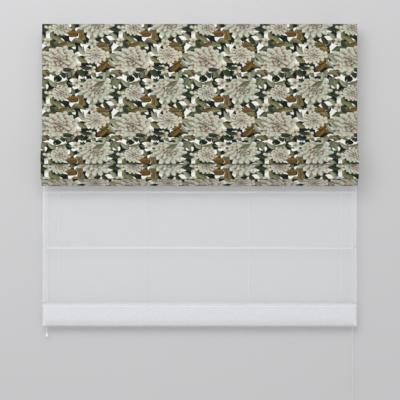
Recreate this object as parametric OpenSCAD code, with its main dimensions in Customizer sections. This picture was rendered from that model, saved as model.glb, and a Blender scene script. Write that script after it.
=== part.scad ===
// Double roman blind: a printed front blind drawn half way up and a sheer rear blind
// let down behind it, both hung from one twin-channel headrail with cord locks.
// X runs along the blind, Y points at the wall (the wall face is y = 0) and Z points up.
// The origin is the centre of the wall screw pattern, on the wall.

/* [Blind] */
// Width of the printed front cloth
blind_w = 1300; // [1000:10:1800]
// Extra width of the sheer cloth over the front cloth
sheer_extra_w = 8; // [0:1:12]
// Height of the front cloth's top edge above the wall screws
cloth_top = 22; // [22:1:30]
// Height of the sheer's bottom edge below the wall screws
sheer_bottom_drop = 1230; // [1210:5:1500]
// Thickness of the printed cloth with its lining
front_cloth_t = 0.8; // [0.6:0.1:1.2]
// Thickness of the sheer cloth
sheer_cloth_t = 0.4; // [0.3:0.1:0.6]

/* [Headrail] */
// Height of the rail's top face above the wall screws
rail_top = 18; // [17:0.5:19]
// Height of the rail
rail_h = 32; // [32:1:40]
// Wall of the aluminium extrusion
rail_wall = 2; // [1.5:0.1:2.4]
// Distance from the wall to the rail's back face
rail_back_gap = 6; // [4:1:12]
// Outside depth of the rear channel
rear_channel_w = 30; // [28:1:36]
// Outside depth of the front channel
front_channel_w = 28; // [27:1:36]
// Clear gap between the two channels
channel_gap = 6; // [5:0.5:10]
// Inward lip at the foot of each channel wall
lip_w = 3; // [2:0.5:4]
// Thickness of the end caps
cap_t = 4; // [2:0.5:6]
// Depth of the end caps' tongues inside the channels
cap_tongue = 2; // [1:0.5:2.5]
// Corner radius of the end caps
cap_r = 3; // [1:0.5:6]

/* [Brackets] */
// Width of a wall bracket
bracket_w = 30; // [20:1:40]
// Thickness of the bracket steel
bracket_t = 2; // [1.5:0.1:2.4]
// Distance from the blind's side edge to the outer brackets
bracket_inset = 100; // [80:5:160]
// Height between the two wall screw holes of a bracket
wall_hole_spacing = 16; // [12:1:20]
// Diameter of the wall screw holes
wall_hole_d = 5; // [4:0.5:6]
// Metal left below the lower wall screw
bracket_foot = 8; // [6:1:12]
// Diameter of the screws that hold the rail
rail_screw_d = 4; // [3:0.5:5]
// Height of those screws' low heads
rail_screw_head_h = 1.5; // [1:0.1:1.8]

/* [Tapes] */
// Thickness of the hook tape and of the loop tape
tape_t = 1.2; // [0.8:0.1:1.4]
// Height of both tapes
tape_h = 16; // [10:1:16]

/* [Rods] */
// Diameter of the stiffening rods
rod_d = 4; // [3:0.5:5]
// Clearance between a rod and its cloth pocket
rod_clear = 0.3; // [0.2:0.05:0.5]
// Distance between the sheer's rods
sheer_rod_pitch = 231; // [200:1:232]
// Distance between the rods in the flat part of the front cloth
front_rod_pitch = 233; // [200:1:260]
// Distance from a cloth's side edge to the end of its rods
rod_inset = 6; // [3:1:20]

/* [Folded stack] */
// Distance between the rods that are drawn together
stack_pitch = 14; // [13:0.5:18]
// Height from the stack's top rod to the foot of the first fold
fold_1_drop = 112; // [100:1:125]
// Distance that the first fold stands forward
fold_1_reach = 50; // [46:1:60]
// Height from the stack's top rod to the foot of the second fold
fold_2_drop = 174; // [165:1:200]
// Distance that the second fold stands forward
fold_2_reach = 45; // [42:1:46]
// Distance that the hem stands forward where it comes out below the second fold
hem_reach = 28; // [24:1:29]
// Height of cloth that shows below the second fold before the seam of the hem's pocket
hem_margin = 3.5; // [2:0.5:10]
// Lean of the hem back towards the wall, in degrees
hem_lean = 35; // [20:1:40]
// Radius of the cloth at the foot of a fold
bend_r = 4; // [3:0.5:5]
// Radius of the cloth round a drawn-up rod
turn_r = 2.2; // [2:0.1:2.6]

/* [Bottom bars] */
// Height of the flat bar in each hem
bar_h = 22; // [16:1:24]
// Thickness of that bar
bar_t = 3; // [2:0.5:4]
// Clearance between the bar and its hem
bar_clear = 0.3; // [0.2:0.05:0.5]
// Length of the plastic cap on each end of a bar
bar_cap_l = 6; // [4:1:12]
// Height of the sheer's double hem
sheer_hem_h = 88; // [50:1:95]

/* [Lift cords] */
// Diameter of the lift cords
lift_cord_d = 1.5; // [1:0.1:1.6]
// Distance between neighbouring cord lanes in a channel
lane_pitch = 2.2; // [2:0.1:2.4]
// Distance from the blind's side edge to the outer lift cords
outer_cord_inset = 60; // [56:1:90]
// Distance from the centre to the inner lift cord on the left
inner_cord_left = 226; // [150:1:260]
// Distance from the centre to the inner lift cord on the right
inner_cord_right = 204; // [150:1:260]

/* [Cord guides] */
// Diameter of a guide roller's barrel
roller_d = 10; // [9:0.5:12]
// Width of a guide roller over its flanges
roller_w = 12; // [11:0.5:13]
// Height of a roller's flanges over its barrel
flange_h = 1.5; // [1:0.1:1.8]
// Width of each flange
flange_w = 0.8; // [0.5:0.1:1]
// Diameter of a roller's steel pin
pin_d = 3; // [2:0.5:4]
// Running clearance round pins and cords
run_clear = 0.05; // [0.03:0.01:0.1]
// Side clearance of a roller between its cheeks
side_clear = 0.3; // [0.2:0.05:0.4]
// Thickness of a guide's cheeks and base
cheek_t = 2.4; // [1.8:0.1:2.6]
// Length of a guide along the rail
guide_l = 28; // [24:1:32]
// Height of the roller's axis above the guide's base
axis_h = 11; // [10:0.5:12]

/* [Cord locks] */
// Height of a lock's body
lock_h = 25; // [24:0.5:26]
// Wall of a lock's body
lock_wall = 3; // [2.5:0.1:3.2]
// Height of the cord chamber's floor above the lock's base
lock_floor = 8; // [6:0.5:8]
// Diameter of the locking roller
pawl_d = 8; // [6:0.5:9]
// Diameter of the locking roller's axle
pawl_axle_d = 3; // [2:0.5:3]
// Travel of the locking roller along its slots
pawl_travel = 4; // [2:0.5:5]
// Slope of the slots, in degrees
pawl_slope = 35; // [20:1:45]
// Fit of guides and locks in the channels, on each side
channel_fit = 0.2; // [0.1:0.05:0.4]
// Outside diameter of a lock's cord spout
spout_d = 9; // [7:0.5:9]
// Distance that the spouts reach below the rail
spout_drop = 4; // [2:0.5:8]

/* [Rings] */
// Clear bore of a cord ring
ring_bore = 9; // [8.6:0.1:10]
// Thickness of a ring's rim
ring_wire = 2; // [1.5:0.1:2.4]
// Width of the tab that sews a ring on
ring_tab_w = 3; // [2:0.5:5]
// Gap between a sewn piece and the cloth it is sewn to
sewn_gap = 0.3; // [0.1:0.05:0.4]
// Diameter of the stops below the last rings
stop_d = 8; // [7:0.5:8]
// Height of those stops
stop_h = 9; // [6:0.5:10]

/* [Pull cords] */
// Diameter of the pull cords
pull_cord_d = 3; // [2:0.1:3.4]
// Distance from the blind's side edge to the pull cords
pull_cord_inset = 12; // [12:0.5:14]
// Height of the bell at a pull cord's end
bell_h = 15; // [12:1:30]
// Diameter of the bell's top
bell_top_d = 5.4; // [5:0.1:6]
// Diameter of the bell's foot
bell_foot_d = 10.7; // [9:0.1:16]
// Depth to which the cord is let into the bell
bell_socket = 8; // [6:0.5:10]

/* [Hidden] */
$fn = 48;
SHEER_RODS = 5;
STACK_RODS = 3;
LANES = 4;

// Stations through the depth, wall side first
rear_back = -rail_back_gap;
rear_front = rear_back - rear_channel_w;
front_back = rear_front - channel_gap;
front_front = front_back - front_channel_w;
rear_mid = (rear_back + rear_front) / 2;
front_mid = (front_back + front_front) / 2;
rear_inner_w = rear_channel_w - 2 * rail_wall;
front_inner_w = front_channel_w - 2 * rail_wall;
front_cloth_y = front_front - 2 * tape_t - front_cloth_t / 2;
sheer_cloth_y = rear_front - 2 * tape_t - sheer_cloth_t / 2;

// Stations up the rail
rail_bottom = rail_top - rail_h;
lip_top = rail_bottom + rail_wall;
roller_z = lip_top + cheek_t + axis_h;
cord_turn = roller_d / 2 + lift_cord_d / 2 + run_clear;
run_z = roller_z + cord_turn;
spout_foot = rail_bottom - spout_drop;

// Stations along the rail
sheer_w = blind_w + sheer_extra_w;
rail_half = blind_w / 2 - cap_t;
outer_lane = blind_w / 2 - outer_cord_inset;
lanes_x = [-outer_lane, -inner_cord_left, inner_cord_right, outer_lane];
brackets_x = [-blind_w / 2 + bracket_inset, 0, blind_w / 2 - bracket_inset];
pull_x = blind_w / 2 - pull_cord_inset;
part_gap = 0.5;
lock_x0 = outer_lane + cord_turn + guide_l / 2 + part_gap;
lock_x1 = rail_half - cap_tongue - part_gap;
chamber_x0 = lock_x0 + lock_wall;
chamber_x1 = lock_x1 - lock_wall;
chamber_w = roller_w + 2 * side_clear + 2;
chamber_z0 = lip_top + lock_floor;
lock_top = lip_top + lock_h;

// The crossing duct carries the front blind's pull cord behind the sheer
duct_wall = 3;
pull_bore_d = pull_cord_d + 1;
duct_h = pull_bore_d + 2 * duct_wall;
duct_z0 = rail_bottom + tape_h + 1;
duct_x0 = pull_x - pull_bore_d / 2 - duct_wall;
duct_mid_z = duct_z0 + duct_h / 2;

// Locking rollers at rest, at the low end of their slots
pawl_x = chamber_x0 + pawl_d / 2 + 4;
pawl_z = chamber_z0 + pawl_d / 2 + 1;

// Rods, rings and cord lanes
pocket_r = rod_d / 2 + rod_clear;
pocket_weld = 0.05;
ring_r = (ring_bore + ring_wire) / 2;
sheer_rods_z = [for (k = [1:SHEER_RODS]) cloth_top - k * sheer_rod_pitch];
stack_z = cloth_top - 2 * front_rod_pitch;
front_rods_z = concat([cloth_top - front_rod_pitch], [for (k = [0:STACK_RODS - 1]) stack_z - k * stack_pitch]);
front_rod_y = front_cloth_y + front_cloth_t / 2 + pocket_r + pocket_weld;
sheer_rod_y = sheer_cloth_y + sheer_cloth_t / 2 + pocket_r + pocket_weld;
stop_top = ring_wire / 2 + sewn_gap;

// Routes of the pull cords, as [side step, depth step, height] from the spouts' axes
sheer_route = [
    [0, 0, -12], [0, 0, -30], [0, 0, -60], [0, 0, -120], [0.2, 0, -200], [0.5, 0, -300], [0.8, 0, -400],
    [1, 0, -500], [1.1, 0, -600], [1, 0, -700], [0.8, 0, -800], [0.5, 0, -900], [0.3, 0, -1000],
    [0.1, 0, -1100], [0, 0, -1180], [0, 0, -1230], [0, 0, -1267]
];
front_route = [
    [0, 0, -12], [0, 0, -30], [0, 0, -60], [0, 0, -120], [-0.2, 0, -220], [-0.5, 0, -340], [-0.9, 0, -460],
    [-1.2, 0, -580], [-1.4, 0, -700], [-1.5, 0, -820], [-1.4, 0, -940], [-1.2, 0, -1060], [-0.9, 0, -1180],
    [-0.6, 0, -1300], [-0.3, 0, -1420], [-0.1, 0, -1520], [0, 0, -1600], [0, 0, -1650], [0, 0, -1683]
];
cord_sides = 8;

// Curves and sections

function unit(v) = v / norm(v);

function left_normal(a, b) = let (d = unit(b - a)) [-d[1], d[0]];

// Points of a cubic curve after its first point
function curve(p0, p1, p2, p3, n) = [
    for (i = [1:n])
        let (t = i / n, s = 1 - t)
        s * s * s * p0 + 3 * s * s * t * p1 + 3 * s * t * t * p2 + t * t * t * p3
];

// Points of a circular arc after its first point
function arc(c, r, a0, a1, n) = [
    for (i = [1:n])
        let (a = a0 + (a1 - a0) * i / n)
        c + r * [cos(a), sin(a)]
];

// One side of a cloth strip: the path set over by s, with mitred corners
function strip_side(path, s) = [
    for (i = [0:len(path) - 1])
        let (
            last = len(path) - 1,
            a = left_normal(path[max(i - 1, 0)], path[max(i, 1)]),
            b = left_normal(path[min(i, last - 1)], path[min(i + 1, last)]),
            m = unit(a + b)
        )
        path[i] + m * s / (m * a)
];

function reversed(list) = [for (i = [len(list) - 1:-1:0]) list[i]];

function strip(path, t) = concat(strip_side(path, t / 2), reversed(strip_side(path, -t / 2)));

// A section drawn in depth and height, carried along X
module along_x(length) {
    rotate([90, 0, 90])
        linear_extrude(length, center = true)
            children();
}

module rounded_rectangle(w, h, r) {
    translate([r, 0])
        square([w - 2 * r, h]);
    translate([0, r])
        square([w, h - 2 * r]);
    for (x = [r, w - r], y = [r, h - r])
        translate([x, y])
            circle(r);
}

module rod_along_x(y, z, d, length) {
    translate([-length / 2, y, z])
        rotate([0, 90, 0])
            cylinder(d = d, h = length);
}

// A cylinder along Y, centred on y
module pin_along_y(x, y, z, d, length) {
    translate([x, y - length / 2, z])
        rotate([-90, 0, 0])
            cylinder(d = d, h = length);
}

// Headrail, end caps and brackets

module rail_section() {
    translate([front_front, rail_top - rail_wall])
        square([rear_back - front_front, rail_wall]);
    for (c = [[rear_front, rear_back], [front_front, front_back]]) {
        for (y = [c[0], c[1] - rail_wall])
            translate([y, rail_bottom])
                square([rail_wall, rail_h]);
        for (y = [c[0], c[1] - rail_wall - lip_w])
            translate([y, rail_bottom])
                square([rail_wall + lip_w, rail_wall]);
    }
}

module rail_screw_places() {
    for (x = brackets_x, y = [rear_mid, front_mid])
        translate([x, y, rail_top])
            children();
}

module headrail() {
    duct_notch_w = rear_front - front_back;
    color("whitesmoke")
        difference() {
            along_x(2 * rail_half)
                rail_section();
            translate([duct_x0 - channel_fit, front_back - rail_wall - 1, duct_z0 - channel_fit])
                cube([rail_half, duct_notch_w + 2 * rail_wall + 2, duct_h + 2 * channel_fit]);
            rail_screw_places()
                translate([0, 0, -rail_wall - 1])
                    cylinder(d = rail_screw_d + 2 * run_clear, h = rail_wall + 2);
        }
}

module end_cap(side) {
    depth = rear_back - front_front;
    color("white")
        union() {
            translate([side * (rail_half + cap_t / 2), front_front, rail_bottom])
                along_x(cap_t)
                    difference() {
                        rounded_rectangle(depth, rail_h, cap_r);
                        // Slot that the sheer's edge hangs through
                        translate([front_back - front_front, -1])
                            square([channel_gap, tape_h + part_gap + 1]);
                    }
            for (c = [[rear_mid, rear_inner_w], [front_mid, front_inner_w]])
                translate([side * (rail_half - cap_tongue / 2), c[0] - c[1] / 2 + channel_fit, lip_top + channel_fit])
                    along_x(cap_tongue)
                        square([c[1] - 2 * channel_fit, rail_h - 2 * rail_wall - 2 * channel_fit]);
        }
}

module end_cap_left() {
    end_cap(-1);
}

module end_cap_right() {
    end_cap(1);
}

module bracket(x) {
    foot = -wall_hole_spacing / 2 - bracket_foot;
    arm_front = front_front + rail_wall;
    color("gainsboro")
        difference() {
            union() {
                translate([x - bracket_w / 2, 0, foot])
                    rotate([90, 0, 0])
                        linear_extrude(bracket_t)
                            rounded_rectangle(bracket_w, rail_top + bracket_t - foot, bracket_t);
                translate([x - bracket_w / 2, arm_front, rail_top])
                    linear_extrude(bracket_t)
                        rounded_rectangle(bracket_w, -arm_front - bracket_t / 2, bracket_t);
                translate([x - bracket_w / 2 + bracket_t, -bracket_t, rail_top])
                    cube([bracket_w - 2 * bracket_t, bracket_t, bracket_t]);
            }
            for (z = [-1, 1] * wall_hole_spacing / 2)
                pin_along_y(x, 0, z, wall_hole_d, 4 * bracket_t);
            rail_screw_places()
                translate([0, 0, -1])
                    cylinder(d = rail_screw_d + 2 * run_clear, h = bracket_t + 2);
        }
}

module bracket_left() {
    bracket(brackets_x[0]);
}

module bracket_middle() {
    bracket(brackets_x[1]);
}

module bracket_right() {
    bracket(brackets_x[2]);
}

module bracket_screws() {
    shank = rail_wall + bracket_t + 2;
    color("silver")
        rail_screw_places()
            translate([0, 0, bracket_t])
                difference() {
                    union() {
                        cylinder(d = 2 * rail_screw_d - 1, h = rail_screw_head_h);
                        translate([0, 0, -shank])
                            cylinder(d = rail_screw_d, h = shank + rail_screw_head_h / 2);
                    }
                    for (turn = [0, 90])
                        rotate([0, 0, turn])
                            translate([-rail_screw_d / 2, -0.4, rail_screw_head_h / 2])
                                cube([rail_screw_d, 0.8, rail_screw_head_h]);
                }
}

// Hook and loop tapes

module tape(face_y, z) {
    color("white")
        translate([-rail_half, face_y - tape_t, z])
            cube([2 * rail_half, tape_t, tape_h]);
}

module front_hook_tape() {
    tape(front_front, rail_top - rail_wall - tape_h);
}

module front_loop_tape() {
    tape(front_front - tape_t, rail_top - rail_wall - tape_h);
}

module sheer_hook_tape() {
    tape(rear_front, rail_bottom);
}

module sheer_loop_tape() {
    tape(rear_front - tape_t, rail_bottom);
}

// Cord guides: pull is -1 where the cords run to the left, 1 where they run to the right

function roller_x(lane, pull) = lanes_x[lane] + pull * cord_turn;

module guide(x, mid_y, inner_w) {
    cheek_y = roller_w / 2 + side_clear + cheek_t / 2;
    cheek_r = roller_d / 2 + flange_h;
    difference() {
        union() {
            difference() {
                translate([x - guide_l / 2, mid_y - inner_w / 2 + channel_fit, lip_top])
                    cube([guide_l, inner_w - 2 * channel_fit, cheek_t]);
                translate([x - cord_turn - 2, mid_y - roller_w / 2, lip_top - 1])
                    cube([2 * cord_turn + 4, roller_w, cheek_t + 2]);
            }
            for (s = [-1, 1]) {
                pin_along_y(x, mid_y + s * cheek_y, roller_z, 2 * cheek_r, cheek_t);
                translate([x - cheek_r, mid_y + s * cheek_y - cheek_t / 2, lip_top])
                    cube([2 * cheek_r, cheek_t, roller_z - lip_top]);
            }
        }
        pin_along_y(x, mid_y, roller_z, pin_d + 2 * run_clear, inner_w);
    }
}

module front_cord_guides() {
    color("ghostwhite")
        for (lane = [0:LANES - 1])
            guide(roller_x(lane, 1), front_mid, front_inner_w);
}

module sheer_cord_guides() {
    color("ghostwhite")
        for (lane = [0:LANES - 1])
            guide(roller_x(lane, -1), rear_mid, rear_inner_w);
}

module roller_pins(mid_y, pull) {
    length = roller_w + 2 * side_clear + 2 * cheek_t;
    color("silver")
        for (lane = [0:LANES - 1])
            pin_along_y(roller_x(lane, pull), mid_y, roller_z, pin_d, length);
}

module front_roller_pins() {
    roller_pins(front_mid, 1);
}

module sheer_roller_pins() {
    roller_pins(rear_mid, -1);
}

module roller(lane, mid_y, pull) {
    barrel_r = roller_d / 2;
    flange_r = barrel_r + flange_h;
    bore_r = pin_d / 2 + run_clear;
    color("white")
        translate([roller_x(lane, pull), mid_y + roller_w / 2, roller_z])
            rotate([90, 0, 0])
                rotate_extrude()
                    polygon([
                        [bore_r, 0], [flange_r, 0], [flange_r, flange_w], [barrel_r, 2 * flange_w],
                        [barrel_r, roller_w - 2 * flange_w], [flange_r, roller_w - flange_w],
                        [flange_r, roller_w], [bore_r, roller_w]
                    ]);
}

// Cord locks: modelled at the right end of the rail, and mirrored for the left end

module lock_slot(d, mid_y, length) {
    reach = [cos(pawl_slope), 0, sin(pawl_slope)] * pawl_travel;
    pin_along_y(pawl_x, mid_y, pawl_z, d, length);
    translate(reach)
        pin_along_y(pawl_x, mid_y, pawl_z, d, length);
    translate([pawl_x, mid_y - length / 2, pawl_z])
        rotate([0, -pawl_slope, 0])
            translate([0, 0, -d / 2])
                cube([pawl_travel, length, d]);
}

module lock_block(mid_y, inner_w) {
    entry_w = (LANES - 1) * lane_pitch + lift_cord_d + 2 * sewn_gap;
    entry_h = lift_cord_d + 2 * sewn_gap;
    difference() {
        translate([lock_x0, mid_y - inner_w / 2 + channel_fit, lip_top])
            cube([lock_x1 - lock_x0, inner_w - 2 * channel_fit, lock_h]);
        translate([chamber_x0, mid_y - chamber_w / 2, chamber_z0])
            cube([chamber_x1 - chamber_x0, chamber_w, lock_h]);
        translate([lock_x0 - 1, mid_y - entry_w / 2, run_z - entry_h / 2])
            cube([lock_wall + 2, entry_w, entry_h]);
        lock_slot(pawl_axle_d + 2 * run_clear, mid_y, inner_w);
    }
}

module sheer_cord_lock() {
    color("white")
        mirror([1, 0, 0])
            difference() {
                union() {
                    lock_block(rear_mid, rear_inner_w);
                    translate([pull_x, rear_mid, spout_foot])
                        cylinder(d = spout_d, h = chamber_z0 - spout_foot - 1);
                }
                translate([pull_x, rear_mid, spout_foot - 1])
                    cylinder(d = pull_bore_d, h = lock_h);
            }
}

module front_cord_lock() {
    duct_back = rear_mid + pull_bore_d / 2 + duct_wall;
    block_back = front_mid + front_inner_w / 2 - channel_fit;
    color("white")
        difference() {
            union() {
                lock_block(front_mid, front_inner_w);
                translate([duct_x0, block_back - lock_wall, duct_z0])
                    cube([lock_x1 - duct_x0, duct_back - block_back + lock_wall, duct_h]);
                translate([pull_x, rear_mid, spout_foot])
                    cylinder(d = spout_d, h = duct_z0 - spout_foot + duct_wall / 2);
            }
            translate([pull_x, front_mid, duct_mid_z])
                rotate([-90, 0, 0])
                    cylinder(d = pull_bore_d, h = rear_mid - front_mid);
            translate([pull_x, rear_mid, spout_foot - 1])
                cylinder(d = pull_bore_d, h = duct_mid_z - spout_foot + 1);
        }
}

module lock_pawl(mid_y, inner_w) {
    pin_along_y(pawl_x, mid_y, pawl_z, pawl_axle_d, inner_w - 2 * channel_fit - 1);
    translate([pawl_x, mid_y - roller_w / 2, pawl_z])
        rotate([-90, 0, 0])
            cylinder(d = pawl_d, h = roller_w, $fn = 12);
}

module front_lock_pawl() {
    color("dimgray")
        lock_pawl(front_mid, front_inner_w);
}

module sheer_lock_pawl() {
    color("dimgray")
        mirror([1, 0, 0])
            lock_pawl(rear_mid, rear_inner_w);
}

// Lift cords, their stops and their rings

function lane_y(mid_y, lane) = mid_y + (lane - (LANES - 1) / 2) * lane_pitch;

// Each cord drops from its roller to the last ring and runs along the rail to the lock
module lift_cords(mid_y, last_rod_z, pull) {
    foot = last_rod_z - stop_top - stop_h;
    run_end = pull * (chamber_x0 - 1);
    color("white")
        for (lane = [0:LANES - 1])
            translate([0, lane_y(mid_y, lane), 0]) {
                translate([lanes_x[lane], 0, foot])
                    cylinder(d = lift_cord_d, h = roller_z - foot);
                translate([roller_x(lane, pull), 0, roller_z])
                    rotate([90, 0, pull > 0 ? 180 : 0])
                        rotate_extrude(angle = 90)
                            translate([cord_turn, 0])
                                circle(d = lift_cord_d);
                translate([min(roller_x(lane, pull), run_end), 0, run_z])
                    rotate([0, 90, 0])
                        cylinder(d = lift_cord_d, h = abs(run_end - roller_x(lane, pull)));
            }
}

module front_lift_cords() {
    lift_cords(front_mid, front_rods_z[STACK_RODS], 1);
}

module sheer_lift_cords() {
    lift_cords(rear_mid, sheer_rods_z[SHEER_RODS - 1], -1);
}

module cord_stops(mid_y, last_rod_z) {
    edge = 1;
    r = stop_d / 2;
    bore_r = lift_cord_d / 2 + sewn_gap;
    color("white")
        for (lane = [0:LANES - 1])
            translate([lanes_x[lane], lane_y(mid_y, lane), last_rod_z - stop_top - stop_h])
                rotate_extrude()
                    polygon([
                        [bore_r, 0], [r - edge, 0], [r, edge], [r, stop_h - edge], [r - edge, stop_h],
                        [bore_r, stop_h]
                    ]);
}

module front_cord_stops() {
    cord_stops(front_mid, front_rods_z[STACK_RODS]);
}

module sheer_cord_stops() {
    cord_stops(rear_mid, sheer_rods_z[SHEER_RODS - 1]);
}

// A row of rings, one for each lift cord, with tabs that reach the rod's pocket
module rings(mid_y, rod_y, rod_z, cloth_t) {
    tab_y = rod_y + pocket_r + cloth_t + sewn_gap;
    color("white")
        for (x = lanes_x)
            translate([x, 0, rod_z])
                union() {
                    translate([0, mid_y, 0])
                        rotate_extrude()
                            translate([ring_r, 0])
                                circle(d = ring_wire);
                    translate([-ring_tab_w / 2, tab_y, -ring_wire * 0.4])
                        cube([ring_tab_w, mid_y - ring_r - tab_y, ring_wire * 0.8]);
                }
}

module front_rings_1() {
    rings(front_mid, front_rod_y, front_rods_z[0], front_cloth_t);
}

module front_stack_rings() {
    for (k = [1:STACK_RODS])
        rings(front_mid, front_rod_y, front_rods_z[k], front_cloth_t);
}

module sheer_rings(k) {
    rings(rear_mid, sheer_rod_y, sheer_rods_z[k - 1], sheer_cloth_t);
}

// Pull cords and bells

// A tube of flat-sided rings along a route that runs downwards
module cord_tube(route, d) {
    n = len(route);
    points = [
        for (p = route, i = [0:cord_sides - 1])
            p + d / 2 * [cos(i * 360 / cord_sides), sin(i * 360 / cord_sides), 0]
    ];
    sides = [
        for (k = [0:n - 2], i = [0:cord_sides - 1])
            let (j = (i + 1) % cord_sides, a = k * cord_sides, b = a + cord_sides)
            [a + i, a + j, b + j, b + i]
    ];
    top = [for (i = [cord_sides - 1:-1:0]) i];
    foot = [for (i = [0:cord_sides - 1]) (n - 1) * cord_sides + i];
    polyhedron(points, concat(sides, [top], [foot]));
}

module front_pull_cord() {
    color("white")
        translate([pull_x, rear_mid, 0])
            cord_tube(front_route, pull_cord_d);
}

module sheer_pull_cord() {
    color("white")
        translate([-pull_x, rear_mid, 0])
            cord_tube(sheer_route, pull_cord_d);
}

// A turned bell, bored from the top for the cord's knotted end
module bell(x, end) {
    top_r = bell_top_d / 2;
    foot_r = bell_foot_d / 2;
    bore_r = pull_cord_d / 2 + 2 * run_clear;
    shoulder = [for (i = [0:8]) [top_r + (foot_r - top_r) * (1 - cos(i * 90 / 8)), bell_h * (1 - 0.9 * i / 8)]];
    color("white")
        translate([x + end[0], rear_mid + end[1], end[2] + bell_socket - bell_h])
            difference() {
                rotate_extrude()
                    polygon(concat([[0, 0], [foot_r - 0.8, 0]], reversed(shoulder), [[0, bell_h]]));
                translate([0, 0, bell_h - bell_socket])
                    cylinder(r = bore_r, h = bell_socket + 1);
            }
}

module front_bell() {
    bell(pull_x, front_route[len(front_route) - 1]);
}

module sheer_bell() {
    bell(-pull_x, sheer_route[len(sheer_route) - 1]);
}

// Front cloth: forward is u, down from the stack's top rod is v

function placed(p) = [front_cloth_y - p[0], stack_z - p[1]];

function turn_centre(k) = [turn_r, k * stack_pitch];

// Where the cloth comes to the turn round rod k, leaning by the angle a above the rod
function turn_start(k, a) = turn_centre(k) + turn_r * [cos(a), -sin(a)];

// Where it leaves that turn, leaning by the angle a below the rod
function turn_end(k, a) = turn_centre(k) + turn_r * [-cos(a), sin(a)];

function leaning(a, length) = length * [sin(a), cos(a)];

first_lean = [35, 30];
second_lean = [15, 8];
crease = [14, 16];
seam_gap = 0.05;
fold_1_foot = [fold_1_reach, fold_1_drop - bend_r];
fold_1_rise = [fold_1_reach - 2 * bend_r, fold_1_drop - bend_r];
fold_2_foot = [fold_2_reach, fold_2_drop - bend_r];
fold_2_rise = [fold_2_reach - 2 * bend_r, fold_2_drop - bend_r];
hem_point = [hem_reach, fold_2_drop];
hem_down = [-sin(hem_lean), cos(hem_lean)];
hem_back = [-cos(hem_lean), -sin(hem_lean)];
front_pocket_t = bar_t + 2 * bar_clear + front_cloth_t;
front_pocket_h = bar_h + 2 * bar_clear + front_cloth_t;
pocket_taper = 8;
hem_foot = hem_point + hem_down * (hem_margin + pocket_taper + front_pocket_h);

front_path = concat(
    [[0, stack_z - cloth_top], [0, 0]],
    curve([0, 0], crease, [fold_1_reach, fold_1_drop / 2], fold_1_foot, 10),
    arc(fold_1_foot - [bend_r, 0], bend_r, 0, 180, 8),
    curve(fold_1_rise, fold_1_rise - [4, 36], turn_start(1, first_lean[0]) + leaning(first_lean[0], 28),
          turn_start(1, first_lean[0]), 10),
    arc(turn_centre(1), turn_r, -first_lean[0], -180 - first_lean[1], 8),
    curve(turn_end(1, first_lean[1]), turn_end(1, first_lean[1]) + leaning(first_lean[1], 30),
          fold_2_foot - [0, 60], fold_2_foot, 12),
    arc(fold_2_foot - [bend_r, 0], bend_r, 0, 180, 8),
    curve(fold_2_rise, fold_2_rise - [2, 40], turn_start(2, second_lean[0]) + leaning(second_lean[0], 40),
          turn_start(2, second_lean[0]), 12),
    arc(turn_centre(2), turn_r, -second_lean[0], -180 - second_lean[1], 8),
    curve(turn_end(2, second_lean[1]), turn_end(2, second_lean[1]) + leaning(second_lean[1], 50),
          hem_point - hem_down * 18, hem_point, 12),
    [
        hem_foot, hem_foot + hem_back * front_pocket_t,
        hem_foot + hem_back * front_pocket_t - hem_down * front_pocket_h,
        hem_foot + hem_back * (front_cloth_t + seam_gap) - hem_down * (front_pocket_h + pocket_taper)
    ]
);

// A sheet of cloth with a pocket sewn on its back for each rod
module pocketed_cloth(path, cloth_t, cloth_w, rod_y, rods_z) {
    difference() {
        union() {
            along_x(cloth_w)
                polygon(strip(path, cloth_t));
            for (z = rods_z)
                rod_along_x(rod_y, z, 2 * (pocket_r + cloth_t), cloth_w);
        }
        for (z = rods_z)
            rod_along_x(rod_y, z, 2 * pocket_r, cloth_w + 2);
    }
}

module front_cloth() {
    color("darkkhaki")
        pocketed_cloth([for (p = front_path) placed(p)], front_cloth_t, blind_w, front_rod_y, front_rods_z);
}

// Sheer cloth: flat, with rod pockets on the back and a double hem for its bar

sheer_foot = -sheer_bottom_drop + sheer_cloth_t / 2;
sheer_top = rail_bottom + tape_h;
sheer_pocket_t = bar_t + 2 * bar_clear + sheer_cloth_t;
sheer_pocket_h = bar_h + 2 * bar_clear + sheer_cloth_t;
sheer_path = [
    [sheer_cloth_y, sheer_top],
    [sheer_cloth_y, sheer_foot],
    [sheer_cloth_y + sheer_pocket_t, sheer_foot],
    [sheer_cloth_y + sheer_pocket_t, sheer_foot + sheer_pocket_h],
    [sheer_cloth_y + sheer_cloth_t + seam_gap, sheer_foot + sheer_hem_h]
];

module sheer_cloth() {
    color("aliceblue")
        pocketed_cloth(sheer_path, sheer_cloth_t, sheer_w, sheer_rod_y, sheer_rods_z);
}

// Rods and bottom bars

module front_rod(k) {
    color("lightgray")
        rod_along_x(front_rod_y, front_rods_z[k - 1], rod_d, blind_w - 2 * rod_inset);
}

module sheer_rod(k) {
    color("lightgray")
        rod_along_x(sheer_rod_y, sheer_rods_z[k - 1], rod_d, sheer_w - 2 * rod_inset);
}

// Places a piece of the front bar in its leaning hem, with the bar's foot at the origin
module in_front_hem() {
    foot = placed(hem_foot + hem_back * front_pocket_t / 2 - hem_down * (front_cloth_t / 2 + bar_clear));
    translate([0, foot[0], foot[1]])
        rotate([hem_lean, 0, 0])
            children();
}

module in_sheer_hem() {
    translate([0, sheer_cloth_y + sheer_pocket_t / 2, sheer_foot + sheer_cloth_t / 2 + bar_clear])
        children();
}

module bottom_bar(cloth_w) {
    length = cloth_w - 2 * rod_inset - 2 * bar_cap_l;
    color("silver")
        along_x(length)
            translate([-bar_t / 2, 0])
                rounded_rectangle(bar_t, bar_h, bar_t / 3);
}

module bar_caps(cloth_w) {
    color("white")
        for (s = [-1, 1])
            translate([s * (cloth_w / 2 - rod_inset - bar_cap_l / 2), 0, 0])
                along_x(bar_cap_l)
                    translate([-bar_t / 2, 0])
                        rounded_rectangle(bar_t, bar_h, bar_t / 3);
}

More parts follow.
